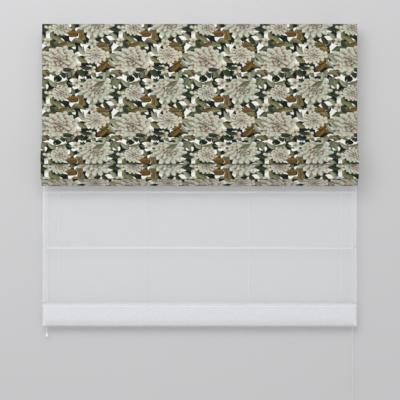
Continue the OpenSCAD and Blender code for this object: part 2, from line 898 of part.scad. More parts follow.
module front_bottom_bar() {
    in_front_hem()
        bottom_bar(blind_w);
}

module front_bar_caps() {
    in_front_hem()
        bar_caps(blind_w);
}

module sheer_bottom_bar() {
    in_sheer_hem()
        bottom_bar(sheer_w);
}

module sheer_bar_caps() {
    in_sheer_hem()
        bar_caps(sheer_w);
}

headrail();
end_cap_left();
end_cap_right();
bracket_left();
bracket_middle();
bracket_right();
bracket_screws();
front_hook_tape();
front_loop_tape();
sheer_hook_tape();
sheer_loop_tape();
front_cord_guides();
sheer_cord_guides();
front_roller_pins();
sheer_roller_pins();
for (lane = [0:LANES - 1]) {
    roller(lane, front_mid, 1);
    roller(lane, rear_mid, -1);
}
front_cord_lock();
sheer_cord_lock();
front_lock_pawl();
sheer_lock_pawl();
front_lift_cords();
sheer_lift_cords();
front_pull_cord();
sheer_pull_cord();
front_bell();
sheer_bell();
front_cloth();
sheer_cloth();
for (k = [1:STACK_RODS + 1])
    front_rod(k);
for (k = [1:SHEER_RODS]) {
    sheer_rod(k);
    sheer_rings(k);
}
front_rings_1();
front_stack_rings();
front_bottom_bar();
sheer_bottom_bar();
front_bar_caps();
sheer_bar_caps();
front_cord_stops();
sheer_cord_stops();
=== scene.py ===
"""Double roman blind: a printed front blind drawn half way up over a sheer rear blind, on one headrail."""
import math

import bpy
import numpy as np
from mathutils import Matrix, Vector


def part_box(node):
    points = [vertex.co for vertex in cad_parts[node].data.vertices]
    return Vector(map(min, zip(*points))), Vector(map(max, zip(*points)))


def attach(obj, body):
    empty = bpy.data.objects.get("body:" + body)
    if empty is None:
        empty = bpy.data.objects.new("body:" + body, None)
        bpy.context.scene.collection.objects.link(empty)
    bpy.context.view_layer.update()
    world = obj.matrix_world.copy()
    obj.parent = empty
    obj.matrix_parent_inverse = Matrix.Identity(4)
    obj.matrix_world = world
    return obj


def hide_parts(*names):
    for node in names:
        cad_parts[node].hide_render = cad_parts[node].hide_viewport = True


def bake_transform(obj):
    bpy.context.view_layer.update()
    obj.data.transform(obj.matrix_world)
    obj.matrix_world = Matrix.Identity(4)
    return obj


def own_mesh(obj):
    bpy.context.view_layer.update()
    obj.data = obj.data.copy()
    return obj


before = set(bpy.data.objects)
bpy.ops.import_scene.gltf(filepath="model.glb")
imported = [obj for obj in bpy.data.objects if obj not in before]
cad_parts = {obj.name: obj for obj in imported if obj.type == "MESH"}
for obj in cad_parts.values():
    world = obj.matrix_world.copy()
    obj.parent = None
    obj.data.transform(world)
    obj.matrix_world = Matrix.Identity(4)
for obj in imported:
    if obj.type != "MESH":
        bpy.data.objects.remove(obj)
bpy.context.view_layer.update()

# Headrail: a white powder-coated aluminium extrusion with two downward channels, closed at each
# end by a moulded cap. It is pushed up under the brackets' arms and held there by low screws.


def srgb(red, green, blue):
    """A colour given on the 0 to 255 display scale, as the linear colour with alpha that shaders take."""
    display = np.array([red, green, blue]) / 255
    linear = np.where(display <= 0.04045, display / 12.92, ((display + 0.055) / 1.055) ** 2.4)
    return (*linear.tolist(), 1.0)


def feed(tree, socket, value):
    """Links value to the socket if it is a socket itself, and otherwise sets it as the socket's constant."""
    if isinstance(value, bpy.types.NodeSocket):
        tree.links.new(value, socket)
    else:
        socket.default_value = value


def place_node(tree, kind, values=None, **settings):
    """Adds a shader node with these settings, feeds its inputs by name or number, and returns it."""
    made = tree.nodes.new("ShaderNode" + kind)
    for key, value in settings.items():
        setattr(made, key, value)
    for key, value in (values or {}).items():
        feed(tree, made.inputs[key], value)
    return made


def calc(tree, operation, *values):
    """The result of one Math node on numbers or sockets."""
    return place_node(tree, "Math", dict(enumerate(values)), operation=operation).outputs[0]


def times(tree, first, second):
    """The product of two numbers or sockets."""
    return calc(tree, "MULTIPLY", first, second)


def blend_colour(tree, share, first, second):
    """The colour that goes from first to second as share goes from 0 to 1, by a Mix node's colour sockets."""
    return place_node(tree, "Mix", {0: share, 6: first, 7: second}, data_type="RGBA").outputs[2]


def ramp(tree, share, start, stop, low=0.0, high=1.0):
    """share between start and stop, carried to the range from low to high and held at its ends."""
    values = {0: share, 1: start, 2: stop, 3: low, 4: high}
    return place_node(tree, "MapRange", values).outputs[0]


def new_group(name, inputs, outputs):
    """A node group with these named sockets: its tree, its inputs' sockets and its outputs' sockets."""
    tree = bpy.data.node_groups.new(name, "ShaderNodeTree")
    for label, kind in inputs.items():
        tree.interface.new_socket(label, in_out="INPUT", socket_type="NodeSocket" + kind)
    for label, kind in outputs.items():
        tree.interface.new_socket(label, in_out="OUTPUT", socket_type="NodeSocket" + kind)
    return tree, tree.nodes.new("NodeGroupInput").outputs, tree.nodes.new("NodeGroupOutput").inputs


def use_group(tree, group, values):
    """Places a node group with these values and returns its outputs."""
    return place_node(tree, "Group", values, node_tree=group).outputs


def new_material(name, colour, roughness, metallic=0.0):
    """A Principled material with these constants: the material, its tree and its shader."""
    made = bpy.data.materials.new(name)
    made.use_nodes = True
    shader = made.node_tree.nodes["Principled BSDF"]
    shader.inputs["Base Color"].default_value = colour
    shader.inputs["Roughness"].default_value = roughness
    shader.inputs["Metallic"].default_value = metallic
    return made, made.node_tree, shader


def add_bump(tree, shader, height, strength, distance):
    """Raises the shader's surface by height, up to distance in metres."""
    values = {"Height": height, "Strength": strength, "Distance": distance}
    feed(tree, shader.inputs["Normal"], place_node(tree, "Bump", values).outputs[0])


def paint(names, finish):
    """Gives every material slot of these CAD nodes this finish."""
    for name in names:
        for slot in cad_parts[name].material_slots:
            slot.material = finish


# Fine grain: noise at one size for the texture and at a tenth of its frequency for the wear of the gloss
WEAR_SCALE = 0.1
WEAR_DETAIL = 4.0
WEAR_RANGE = (0.3, 0.7)
WORN_TINT = 0.93
GRAIN_STRENGTH = 0.5
grain_group, grain_in, grain_out = new_group(
    "fine_grain", {"Place": "Vector", "Per metre": "Float"}, {"Height": "Float", "Wear": "Float"})
tree = grain_group
fine = place_node(tree, "TexNoise", {"Vector": grain_in["Place"], "Scale": grain_in["Per metre"]})
broad_scale = times(tree, grain_in["Per metre"], WEAR_SCALE)
broad_values = {"Vector": grain_in["Place"], "Scale": broad_scale, "Detail": WEAR_DETAIL}
broad = place_node(tree, "TexNoise", broad_values)
feed(tree, grain_out["Height"], fine.outputs[0])
feed(tree, grain_out["Wear"], broad.outputs[0])


def grained_material(name, colour, roughness, spread, per_metre, depth, metallic=0.0):
    """A finish whose roughness wanders by spread either way and whose surface has grain of this depth."""
    made, tree, shader = new_material(name, colour, roughness, metallic)
    place = place_node(tree, "TexCoord").outputs["Object"]
    grain = use_group(tree, grain_group, {"Place": place, "Per metre": per_metre})
    wandering = ramp(tree, grain["Wear"], *WEAR_RANGE, roughness - spread, roughness + spread)
    feed(tree, shader.inputs["Roughness"], wandering)
    worn = tuple(channel * WORN_TINT for channel in colour[:3]) + (1.0,)
    wear_share = ramp(tree, grain["Wear"], *WEAR_RANGE)
    feed(tree, shader.inputs["Base Color"], blend_colour(tree, wear_share, worn, colour))
    add_bump(tree, shader, grain["Height"], GRAIN_STRENGTH, depth)
    return made


powder_coat = grained_material("powder_coat", srgb(232, 232, 229), 0.42, 0.06, 1800, 0.00004)
cap_plastic = grained_material("cap_plastic", srgb(236, 236, 232), 0.34, 0.05, 900, 0.00002)
paint(["headrail"], powder_coat)
paint(["end_cap_left", "end_cap_right"], cap_plastic)

# Brackets: three pressed steel angles, zinc plated, which hang on the wall and carry the rail under their
# arms. Bright steel screws hold it there, and the rollers' pins are of the same steel.

zinc_plate = grained_material("zinc_plate", srgb(196, 198, 200), 0.36, 0.1, 400, 0.00001, metallic=1.0)
bright_steel = grained_material("bright_steel", srgb(205, 206, 208), 0.24, 0.06, 1500, 0.00001, metallic=1.0)
paint(["bracket_left", "bracket_middle", "bracket_right"], zinc_plate)
paint(["bracket_screws", "front_roller_pins", "sheer_roller_pins"], bright_steel)

# Cord guides, rollers, locks, rings and stops: injection moulded in white plastic, with a slightly
# milky plastic for the rings and a grey glass-filled one for the locking rollers.

LANES = range(1, 5)
SHEER_ROWS = range(1, 6)
moulded_white = grained_material("moulded_white", srgb(238, 238, 235), 0.3, 0.06, 700, 0.00002)
milky_plastic = grained_material("milky_plastic", srgb(226, 228, 228), 0.22, 0.05, 700, 0.00001)
filled_grey = grained_material("filled_grey", srgb(105, 106, 108), 0.5, 0.08, 1500, 0.00003)
paint(["front_cord_guides", "sheer_cord_guides", "front_cord_lock", "sheer_cord_lock"], moulded_white)
paint([f"{blind}_roller_{lane}" for blind in ("front", "sheer") for lane in LANES], moulded_white)
paint(["front_bell", "sheer_bell", "front_cord_stops", "sheer_cord_stops"], moulded_white)
paint(["front_bar_caps", "sheer_bar_caps"], moulded_white)
paint(["front_rings_1", "front_stack_rings", *[f"sheer_rings_{row}" for row in SHEER_ROWS]], milky_plastic)
paint(["front_lock_pawl", "sheer_lock_pawl"], filled_grey)

# Rods and bars: white glass-fibre rods in the cloth's pockets, and aluminium flats in the hems, which are
# left as rolled in the lined front cloth and lacquered pale grey where the sheer shows them.

FRONT_ROWS = range(1, 5)
bar_lacquer = grained_material("bar_lacquer", srgb(204, 203, 201), 0.5, 0.06, 1800, 0.00003)
rod_fibre = grained_material("rod_fibre", srgb(228, 228, 224), 0.4, 0.06, 2500, 0.00002)
mill_aluminium = grained_material(
    "mill_aluminium", srgb(200, 201, 203), 0.34, 0.08, 500, 0.00001, metallic=1.0)
paint([f"front_rod_{row}" for row in FRONT_ROWS], rod_fibre)
paint([f"sheer_rod_{row}" for row in SHEER_ROWS], rod_fibre)
paint(["front_bottom_bar"], mill_aluminium)
paint(["sheer_bottom_bar"], bar_lacquer)

# Hook and loop tapes: white woven nylon. The hooked half runs along the rail and the looped half is sewn to
# the cloth's top edge, so that the cloth comes off for washing.


def plus(tree, first, second):
    """The sum of two numbers or sockets."""
    return calc(tree, "ADD", first, second)


def divided(tree, first, second):
    """The first number or socket divided by the second."""
    return calc(tree, "DIVIDE", first, second)


def calc_vector(tree, operation, *values):
    """The result of one Vector Math node on vectors or sockets."""
    return place_node(tree, "VectorMath", dict(enumerate(values)), operation=operation).outputs[0]


# Plain weave: crossed waves a thread apart, lifted in turn like warp and weft, and slubs along the threads
SLUBS_ALONG = 60.0
SLUBS_OVER = 1400.0
weave_group, weave_in, weave_out = new_group(
    "plain_weave", {"Place": "Vector", "Thread": "Float"}, {"Height": "Float", "Tone": "Float"})
tree = weave_group
turns = divided(tree, math.pi, weave_in["Thread"])
place_xyz = place_node(tree, "SeparateXYZ", {0: weave_in["Place"]})
warp = calc(tree, "SINE", times(tree, place_xyz.outputs[0], turns))
weft = calc(tree, "SINE", times(tree, place_xyz.outputs[1], turns))
crossing = times(tree, warp, weft)
feed(tree, weave_out["Height"], ramp(tree, crossing, -1.0, 1.0))
slub_place = calc_vector(tree, "MULTIPLY", weave_in["Place"], (SLUBS_ALONG, SLUBS_OVER, SLUBS_ALONG))
slub = place_node(tree, "TexNoise", {"Vector": slub_place, "Scale": 1.0, "Detail": 2.0})
cross_place = calc_vector(tree, "MULTIPLY", weave_in["Place"], (SLUBS_OVER, SLUBS_ALONG, SLUBS_ALONG))
cross_slub = place_node(tree, "TexNoise", {"Vector": cross_place, "Scale": 1.0, "Detail": 2.0})
both_slubs = plus(tree, slub.outputs[0], cross_slub.outputs[0])
feed(tree, weave_out["Tone"], ramp(tree, both_slubs, 0.6, 1.4))

tape_nylon, tree, tape_shader = new_material("tape_nylon", srgb(232, 232, 230), 0.85)
tape_place = place_node(tree, "TexCoord").outputs["Object"]
tape_turned = place_node(tree, "Mapping", {"Vector": tape_place, "Rotation": (math.pi / 2, 0.0, 0.0)})
TAPE_THREAD = 0.0008
tape_weave = use_group(tree, weave_group, {"Place": tape_turned.outputs[0], "Thread": TAPE_THREAD})
feed(tree, tape_shader.inputs["Base Color"],
     blend_colour(tree, tape_weave["Tone"], srgb(214, 214, 212), srgb(236, 236, 233)))
add_bump(tree, tape_shader, tape_weave["Height"], 0.8, 0.0003)
paint(["front_hook_tape", "front_loop_tape", "sheer_hook_tape", "sheer_loop_tape"], tape_nylon)

# Cords: braided white polyester. Four thin lift cords for each blind drop from the rail's rollers
# through the rings to a stop, and one thicker pull cord for each hangs from its lock to a bell.


def minus(tree, first, second):
    """The first number or socket less the second."""
    return calc(tree, "SUBTRACT", first, second)


# Braid: two sets of diagonal ridges that cross round the cord, from the attribute of angle and length. Its
# tone is a painted shade: dark in the grooves and light on the ridges
BRAID_STRANDS = 4.0
braid_group, braid_in, braid_out = new_group(
    "braid", {"Place": "Vector", "Pitch": "Float"}, {"Height": "Float", "Tone": "Float"})
tree = braid_group
braid_xyz = place_node(tree, "SeparateXYZ", {0: braid_in["Place"]})
along = divided(tree, braid_xyz.outputs[1], braid_in["Pitch"])
strands = times(tree, braid_xyz.outputs[0], BRAID_STRANDS)
left_turns = plus(tree, strands, along)
left_lay = calc(tree, "SINE", times(tree, left_turns, math.tau))
right_turns = minus(tree, strands, along)
right_lay = calc(tree, "SINE", times(tree, right_turns, math.tau))
feed(tree, braid_out["Height"], calc(tree, "MAXIMUM", left_lay, right_lay))
# Tone for a painted shade: 0 in the grooves, where both lays are low, and 1 where they cross high
both_lays = plus(tree, left_lay, right_lay)
feed(tree, braid_out["Tone"], ramp(tree, both_lays, -2.0, 2.0))


def pattern_place(tree, name="cloth_place"):
    """The point attribute that gives a pattern's place on its piece."""
    return place_node(tree, "Attribute", attribute_name=name).outputs["Vector"]


def cord_material(name, colour, shade, pitch, depth):
    """Braided polyester: the height follows the braid at this pitch, and the colour goes from the shade
    colour in the braid's grooves, a painted shade, to its own colour on the ridges.
    """
    made, tree, shader = new_material(name, colour, 0.7)
    place = pattern_place(tree, "around_along")
    braid = use_group(tree, braid_group, {"Place": place, "Pitch": pitch})
    # Painted shade: the colour darkens to the shade colour in the braid's grooves
    feed(tree, shader.inputs["Base Color"], blend_colour(tree, braid["Tone"], shade, colour))
    add_bump(tree, shader, braid["Height"], 0.7, depth)
    return made


def write_mesh(name, points, faces, finishes, place=None, place_name="cloth_place", slots=None):
    """A smooth mesh object from points, faces and a point attribute that gives its pattern's place."""
    mesh = bpy.data.meshes.new(name)
    mesh.from_pydata(points.reshape(-1, 3).tolist(), [], faces)
    for finish in finishes:
        mesh.materials.append(finish)
    mesh.polygons.foreach_set("use_smooth", np.ones(len(faces), bool))
    if slots is not None:
        mesh.polygons.foreach_set("material_index", np.asarray(slots, np.int32))
    if place is not None:
        layer = mesh.attributes.new(place_name, "FLOAT_VECTOR", "POINT")
        layer.data.foreach_set("vector", place.reshape(-1, 3).astype(np.float32).ravel())
    mesh.update()
    made = bpy.data.objects.new(name, mesh)
    bpy.context.scene.collection.objects.link(made)
    return made


def grid_faces(rows, columns, start=0, close=False):
    """Quads of a grid of points numbered by rows from start, and joined round its columns if closed."""
    spans = columns if close else columns - 1
    row, column = np.meshgrid(np.arange(rows - 1), np.arange(spans), indexing="ij")
    following = (column + 1) % columns
    corners = [row * columns + column, row * columns + following,
               (row + 1) * columns + following, (row + 1) * columns + column]
    return (np.stack(corners, -1).reshape(-1, 4) + start).tolist()


def run_length(path):
    """Length along a path from its first point: the running sum of its steps' lengths."""
    return np.concatenate([[0], np.cumsum(np.linalg.norm(np.diff(path, axis=0), axis=1))])


def cord_tube(name, path, diameter, finish, sides=10):
    """A closed tube of round rings square to the path, which runs in a plane of constant depth."""
    ahead = np.gradient(path, axis=0)
    ahead /= np.linalg.norm(ahead, axis=1, keepdims=True)
    depth = np.array([0.0, 1.0, 0.0])
    across = np.cross(depth, ahead)
    across /= np.linalg.norm(across, axis=1, keepdims=True)
    angle = np.linspace(0, math.tau, sides, endpoint=False)
    spokes = np.cos(angle)[None, :, None] * across[:, None] + np.sin(angle)[None, :, None] * depth
    points = path[:, None] + diameter / 2 * spokes
    place = np.zeros(points.shape)
    place[..., 0] = angle / math.tau
    place[..., 1] = run_length(path)[:, None]
    count = len(path)
    faces = grid_faces(count, sides, close=True)
    faces.append(list(range(sides))[::-1])
    faces.append(list(range((count - 1) * sides, count * sides)))
    return write_mesh(name, points, [face[::-1] for face in faces], [finish], place, "around_along")


def smooth_route(points, steps):
    """A smooth curve through the route's points, with this many steps between neighbours: a cubic on each
    stretch, whose slope at a point is half of the way from the point before it to the one after it."""
    ends = np.concatenate([[2 * points[0] - points[1]], points, [2 * points[-1] - points[-2]]])
    share = np.linspace(0, 1, steps, endpoint=False)[:, None]
    pieces = []
    for earlier, first, second, later in zip(ends, ends[1:], ends[2:], ends[3:]):
        pieces.append(0.5 * (2 * first + (second - earlier) * share
                             + (2 * earlier - 5 * first + 4 * second - later) * share ** 2
                             + (3 * first - earlier - 3 * second + later) * share ** 3))
    return np.concatenate(pieces + [points[-1:]])


LIFT_CORD_D = 0.0015
PULL_CORD_D = 0.003
ROLLER_R = 0.005
CORD_CLEAR = 0.00005
CORD_TURN = ROLLER_R + LIFT_CORD_D / 2 + CORD_CLEAR
LANE_PITCH = 0.0022
FALL_POINTS = 60
BEND_POINTS = 9
RUN_POINTS = 12
# The second colour of each cord is its painted shade in the grooves of the braid
lift_cord_braid = cord_material("lift_cord_braid", srgb(240, 240, 237), srgb(200, 201, 200), 0.003, 0.0001)
pull_cord_braid = cord_material("pull_cord_braid", srgb(240, 240, 237), srgb(190, 191, 190), 0.006, 0.0003)


def box_middle(name):
    """The middle of a CAD node's box."""
    low, high = (np.array(corner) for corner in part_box(name))
    return (low + high) / 2


def add_lift_cords(blind, pull):
    """The four lift cords of a blind: each drops from its roller, which turns it to run along the rail."""
    low, high = (np.array(corner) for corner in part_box(f"{blind}_lift_cords"))
    run_end = high[0] if pull > 0 else low[0]
    middle = (low[1] + high[1]) / 2
    for lane in LANES:
        hub = box_middle(f"{blind}_roller_{lane}")
        lane_x = hub[0] - pull * CORD_TURN
        lane_y = middle + (lane - np.mean(LANES)) * LANE_PITCH
        drop = np.linspace(low[2], hub[2], FALL_POINTS)
        fall = np.stack([np.full_like(drop, lane_x), np.full_like(drop, lane_y), drop], -1)
        turn = np.linspace(0, math.pi / 2, BEND_POINTS)
        bend = np.stack([hub[0] - pull * CORD_TURN * np.cos(turn), np.full_like(turn, lane_y),
                         hub[2] + CORD_TURN * np.sin(turn)], -1)
        run_x = np.linspace(hub[0], run_end, RUN_POINTS)
        run = np.stack([run_x, np.full_like(run_x, lane_y), np.full_like(run_x, hub[2] + CORD_TURN)], -1)
        bend_and_run = np.concatenate([bend, run[1:]])
        falling = cord_tube(f"{blind}_lift_cord_{lane}", fall, LIFT_CORD_D, lift_cord_braid)
        running = cord_tube(f"{blind}_cord_run_{lane}", bend_and_run, LIFT_CORD_D, lift_cord_braid)
        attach(falling, "headrail")
        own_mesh(falling)
        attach(running, "headrail")
        for piece in (falling, running):
            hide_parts(f"{blind}_lift_cords")


add_lift_cords("front", 1)
add_lift_cords("sheer", -1)

# Routes of the pull cords from their spouts, as side step and height in millimetres
SHEER_ROUTE = [(0, -12), (0, -30), (0, -60), (0, -120), (0.2, -200), (0.5, -300), (0.8, -400), (1, -500),
               (1.1, -600), (1, -700), (0.8, -800), (0.5, -900), (0.3, -1000), (0.1, -1100), (0, -1180),
               (0, -1230), (0, -1267)]
FRONT_ROUTE = [(0, -12), (0, -30), (0, -60), (0, -120), (-0.2, -220), (-0.5, -340), (-0.9, -460),
               (-1.2, -580), (-1.4, -700), (-1.5, -820), (-1.4, -940), (-1.2, -1060), (-0.9, -1180),
               (-0.6, -1300), (-0.3, -1420), (-0.1, -1520), (0, -1600), (0, -1650), (0, -1683)]
ROUTE_STEPS = 5


def add_pull_cord(blind, steps):
    """A pull cord along its given route, hanging from the lock's spout into the bell."""
    bell = box_middle(f"{blind}_bell")
    route = np.array([(bell[0] + side / 1000, bell[1], height / 1000) for side, height in steps])
    path = smooth_route(route, ROUTE_STEPS)
    piece = cord_tube(f"{blind}_pull_cord_braid", path, PULL_CORD_D, pull_cord_braid)
    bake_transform(piece)
    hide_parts(f"{blind}_pull_cord")


add_pull_cord("sheer", SHEER_ROUTE)
add_pull_cord("front", FRONT_ROUTE)

# Sheer cloth: one sheet of white polyester voile with narrow turned side hems, pockets for the
# rods sewn on its back and a deep double hem for the bottom bar. Its top edge is taped to the rail.


def facing(path):
    """Unit normals of a path in depth and height: its way ahead, turned to the front where it runs down."""
    ahead = np.gradient(path, axis=0)
    ahead /= np.linalg.norm(ahead, axis=1, keepdims=True)
    return np.stack([ahead[:, 1], -ahead[:, 0]], -1)


def closed_sheet(name, middle, normal, thickness, place, finishes, back_slots=None):
    """A sheet of even thickness: its middle surface moved by half of it to both sides, and a rim."""
    rows, columns = middle.shape[:2]
    front = middle + normal * thickness / 2
    back = middle - normal * thickness / 2
    count = rows * columns
    front_faces = [face[::-1] for face in grid_faces(rows, columns)]
    back_faces = grid_faces(rows, columns, count)
    rim = np.concatenate([np.arange(columns), np.arange(1, rows) * columns + columns - 1,
                          (rows - 1) * columns + np.arange(columns - 2, -1, -1),
                          np.arange(rows - 2, 0, -1) * columns])
    ahead = np.roll(rim, -1)
    rim_faces = np.stack([rim, ahead, ahead + count, rim + count], -1).tolist()
    back_index = np.ones(len(back_faces), int) if back_slots is None else back_slots
    slots = np.concatenate([np.zeros(len(front_faces), int), np.minimum(back_index, len(finishes) - 1),
                            np.zeros(len(rim_faces), int)])
    points = np.concatenate([front.reshape(-1, 3), back.reshape(-1, 3)])
    places = np.concatenate([place.reshape(-1, 3)] * 2)
    return write_mesh(name, points, front_faces + back_faces + rim_faces, finishes, places, slots=slots)


def swept_sheet(name, path, across, thickness, finishes, first_length, ripple=None, back_slots=None):
    """A path in depth and height carried along across, with a ripple added, as a closed sheet."""
    rows, columns = len(path), len(across)
    middle = np.zeros((rows, columns, 3))
    middle[..., 0] = across
    middle[..., 1] = path[:, :1]
    middle[..., 2] = path[:, 1:]
    normal = np.zeros(middle.shape)
    normal[..., 1:] = facing(path)[:, None]
    if ripple is not None:
        middle = middle + ripple
    place = np.zeros(middle.shape)
    place[..., 0] = across - across[0]
    place[..., 1] = (first_length + run_length(path))[:, None]
    return closed_sheet(name, middle, normal, thickness, place, finishes, back_slots)


VOILE_T = 0.0004
sheer_low, sheer_high = (np.array(corner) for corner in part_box("sheer_cloth"))
sheer_front_y = sheer_low[1] + VOILE_T / 2
sheer_rods = [box_middle(f"sheer_rod_{row}") for row in SHEER_ROWS]
last_rod_z = sheer_rods[-1][2]
SHEER_HEM_H = 0.088
SIDE_HEM_W = 0.012
BAR_POCKET_T = 0.004
BAR_POCKET_H = 0.023
VOILE_COVER = 0.18
HEM_COVER = 0.3
COVER_SPREAD = 0.05
VOILE_THREAD = 0.0006
POCKET_COVER = 0.85
STITCH_COVER = 0.9
STITCH_PITCH = 0.003
STITCH_SHARE = 0.7
STITCH_EDGE = (0.0005, 0.0003)
SEAM_STEP = 0.004

# Stitch row: dashes of thread along a row at one height of the cloth
stitch_group, stitch_in, stitch_out = new_group(
    "stitch_row", {"Place": "Vector", "Row": "Float", "Pitch": "Float"}, {"Mask": "Float"})
tree = stitch_group
stitch_xyz = place_node(tree, "SeparateXYZ", {0: stitch_in["Place"]})
from_row = minus(tree, stitch_xyz.outputs[1], stitch_in["Row"])
on_row = ramp(tree, calc(tree, "ABSOLUTE", from_row), *STITCH_EDGE)
dash = calc(tree, "FRACT", divided(tree, stitch_xyz.outputs[0], stitch_in["Pitch"]))
on_dash = calc(tree, "LESS_THAN", dash, STITCH_SHARE)
feed(tree, stitch_out["Mask"], times(tree, on_row, on_dash))


def stitch_mask(tree, place, rows):
    """The mask of several rows of stitches, at these distances from the cloth's top edge."""
    mask = None
    for row in rows:
        values = {"Place": place, "Row": float(row), "Pitch": STITCH_PITCH}
        single = use_group(tree, stitch_group, values)["Mask"]
        mask = single if mask is None else calc(tree, "MAXIMUM", mask, single)
    return mask


def voile_material(name, cover):
    """White voile: its threads cover this share of each face, and more where it is thick or sewn."""
    made, tree, shader = new_material(name, srgb(240, 241, 243), 0.8)
    place = pattern_place(tree)
    weave = use_group(tree, weave_group, {"Place": place, "Thread": VOILE_THREAD})
    seams = [sheer_high[2] - rod[2] + SEAM_STEP for rod in sheer_rods]
    seams.append(sheer_high[2] - sheer_low[2] - SHEER_HEM_H + SEAM_STEP)
    sewn = stitch_mask(tree, place, seams)
    yarn = blend_colour(tree, weave["Tone"], srgb(232, 234, 238), srgb(246, 247, 248))
    feed(tree, shader.inputs["Base Color"], blend_colour(tree, sewn, yarn, srgb(250, 250, 250)))
    woven = ramp(tree, weave["Tone"], 0.0, 1.0, cover - COVER_SPREAD, cover + COVER_SPREAD)
    feed(tree, shader.inputs["Alpha"], ramp(tree, sewn, 0.0, 1.0, woven, STITCH_COVER))
    add_bump(tree, shader, weave["Height"], 0.2, 0.0001)
    return made


voile = voile_material("voile", VOILE_COVER)
hem_voile = voile_material("hem_voile", HEM_COVER)
pocket_voile = voile_material("pocket_voile", POCKET_COVER)

SHEER_COLUMNS = 121
SHEER_STEPS = 80
BILLOW_SHARES = (0.5, 0.3, 0.2)
SLOW_WAVE = 9.0
QUICK_WAVE = 21.0
WAVE_SHIFT = 2.4
QUICK_SHIFT = 1.0
sheer_across = np.linspace(sheer_low[0], sheer_high[0], SHEER_COLUMNS)


def line(*points, steps=8):
    """Points along straight stretches between these points."""
    pieces = [np.linspace(first, second, steps, endpoint=False) for first, second in zip(points, points[1:])]
    return np.concatenate(pieces + [np.array(points[-1:], float)])


def billow(path, across, held, amount):
    """Soft bulges to the front: this amount, times the squared sine of the way from one held height to the
    next, times an even share and two sine waves across."""
    step = np.interp(-path[:, 1], -np.array(held), np.arange(len(held)))
    swell = np.sin(math.pi * step) ** 2
    even, slow, quick = BILLOW_SHARES
    slow_wave = np.sin(across * SLOW_WAVE + WAVE_SHIFT * np.floor(step)[:, None])
    waves = even + slow * slow_wave + quick * np.sin(across * QUICK_WAVE + QUICK_SHIFT)
    ripple = np.zeros((len(path), len(across), 3))
    ripple[..., 1] = -amount * swell[:, None] * waves
    return ripple


sheer_path = line((sheer_front_y, sheer_high[2]), (sheer_front_y, last_rod_z), steps=SHEER_STEPS)
sheer_held = [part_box("sheer_loop_tape")[0][2], *[rod[2] for rod in sheer_rods]]
SHEER_BILLOW = 0.0015
sheer_billow = billow(sheer_path, sheer_across, sheer_held, SHEER_BILLOW)
sheer_sheet = swept_sheet("sheer_voile_sheet", sheer_path, sheer_across, VOILE_T, [voile], 0.0, sheer_billow)
sheer_pieces = []
hem_path = sheer_path + [VOILE_T, 0]
for side in (-1, 1):
    hem_across = np.sort(side * np.array([sheer_high[0] - SIDE_HEM_W, sheer_high[0]]))
    hem_billow = billow(hem_path, hem_across, sheer_held, SHEER_BILLOW)
    side_hem = swept_sheet(f"sheer_side_hem_{side}", hem_path, hem_across, VOILE_T, [voile], 0.0, hem_billow)
    sheer_pieces.append(side_hem)
for piece in [sheer_sheet, *sheer_pieces]:
    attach(piece, "headrail")
    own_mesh(piece)
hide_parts("sheer_cloth")

hem_foot_z = sheer_low[2] + VOILE_T / 2
hem_back_y = sheer_front_y + BAR_POCKET_T
sheer_hem_path = line((sheer_front_y, last_rod_z), (sheer_front_y, hem_foot_z), (hem_back_y, hem_foot_z),
                      (hem_back_y, hem_foot_z + BAR_POCKET_H),
                      (sheer_front_y + 2 * VOILE_T, hem_foot_z + SHEER_HEM_H), steps=10)
sheer_hem = swept_sheet("sheer_double_hem", sheer_hem_path, sheer_across, VOILE_T, [hem_voile],
                        sheer_high[2] - last_rod_z)
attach(sheer_hem, "sheer_bottom")

POCKET_SIDES = 20
POCKET_R = 0.0023


def rod_pocket(name, rod, across, thickness, finishes):
    """A cloth channel round a rod: an arc about it, whose two edges are sewn to the back of its sheet."""
    radius = POCKET_R + thickness / 2
    sewn = math.pi - math.acos(POCKET_R / radius)
    angle = np.linspace(sewn, -sewn, POCKET_SIDES)
    path = np.stack([rod[1] + radius * np.cos(angle), rod[2] + radius * np.sin(angle)], -1)
    return swept_sheet(name, path, across, thickness, finishes, 0.0)


sheer_pieces.append(sheer_hem)
pocket_across = np.linspace(sheer_low[0], sheer_high[0], 3)
for row, rod in enumerate(sheer_rods, 1):
    pocket = rod_pocket(f"sheer_pocket_{row}", rod, pocket_across, VOILE_T, [pocket_voile])
    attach(pocket, "sheer_bottom" if row == SHEER_ROWS[-1] else f"sheer_rod_row_{row}")
    sheer_pieces.append(pocket)

# Front cloth: printed cotton with a plain lining, one sheet that hangs flat from the rail's front, goes
# round two forward folds and three drawn-up rods, and ends in a hem with a flat bar. Its sides are
# turned back over the lining.

FRONT_T = 0.0008
FOLD_1_DROP = 0.112
FOLD_1_REACH = 0.05
FOLD_2_DROP = 0.174
FOLD_2_REACH = 0.045
HEM_REACH = 0.028
HEM_LENGTH = 0.0349
HEM_LEAN = math.radians(35)
BEND_R = 0.004
TURN_R = 0.0022
FRONT_POCKET_T = 0.0044
FRONT_POCKET_H = 0.0234
POCKET_TAPER = 0.008
SEAM_GAP = 0.00005
front_rods = [box_middle(f"front_rod_{row}") for row in FRONT_ROWS]
front_low, front_high = (np.array(corner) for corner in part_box("front_cloth"))
stack_z = front_rods[1][2]
STACK_PITCH = stack_z - front_rods[2][2]
front_cloth_y = front_rods[0][1] - POCKET_R - FRONT_T / 2 - SEAM_GAP


def curve(start, leave, arrive, end, steps):
    """A cubic curve without its first point: its two ends and two handles, weighted by the powers of the
    share that is run and the share that is left."""
    share = np.linspace(0, 1, steps + 1)[1:, None]
    rest = 1 - share
    start, leave, arrive, end = (np.array(point) for point in (start, leave, arrive, end))
    return (rest ** 3 * start + 3 * rest ** 2 * share * leave
            + 3 * rest * share ** 2 * arrive + share ** 3 * end)


def arc(centre, radius, first, last, steps):
    """Points on a circle in forward and down, from the first angle in degrees, left out, to the last."""
    angle = np.radians(np.linspace(first, last, steps + 1)[1:, None])
    return np.array(centre) + radius * np.concatenate([np.cos(angle), np.sin(angle)], 1)


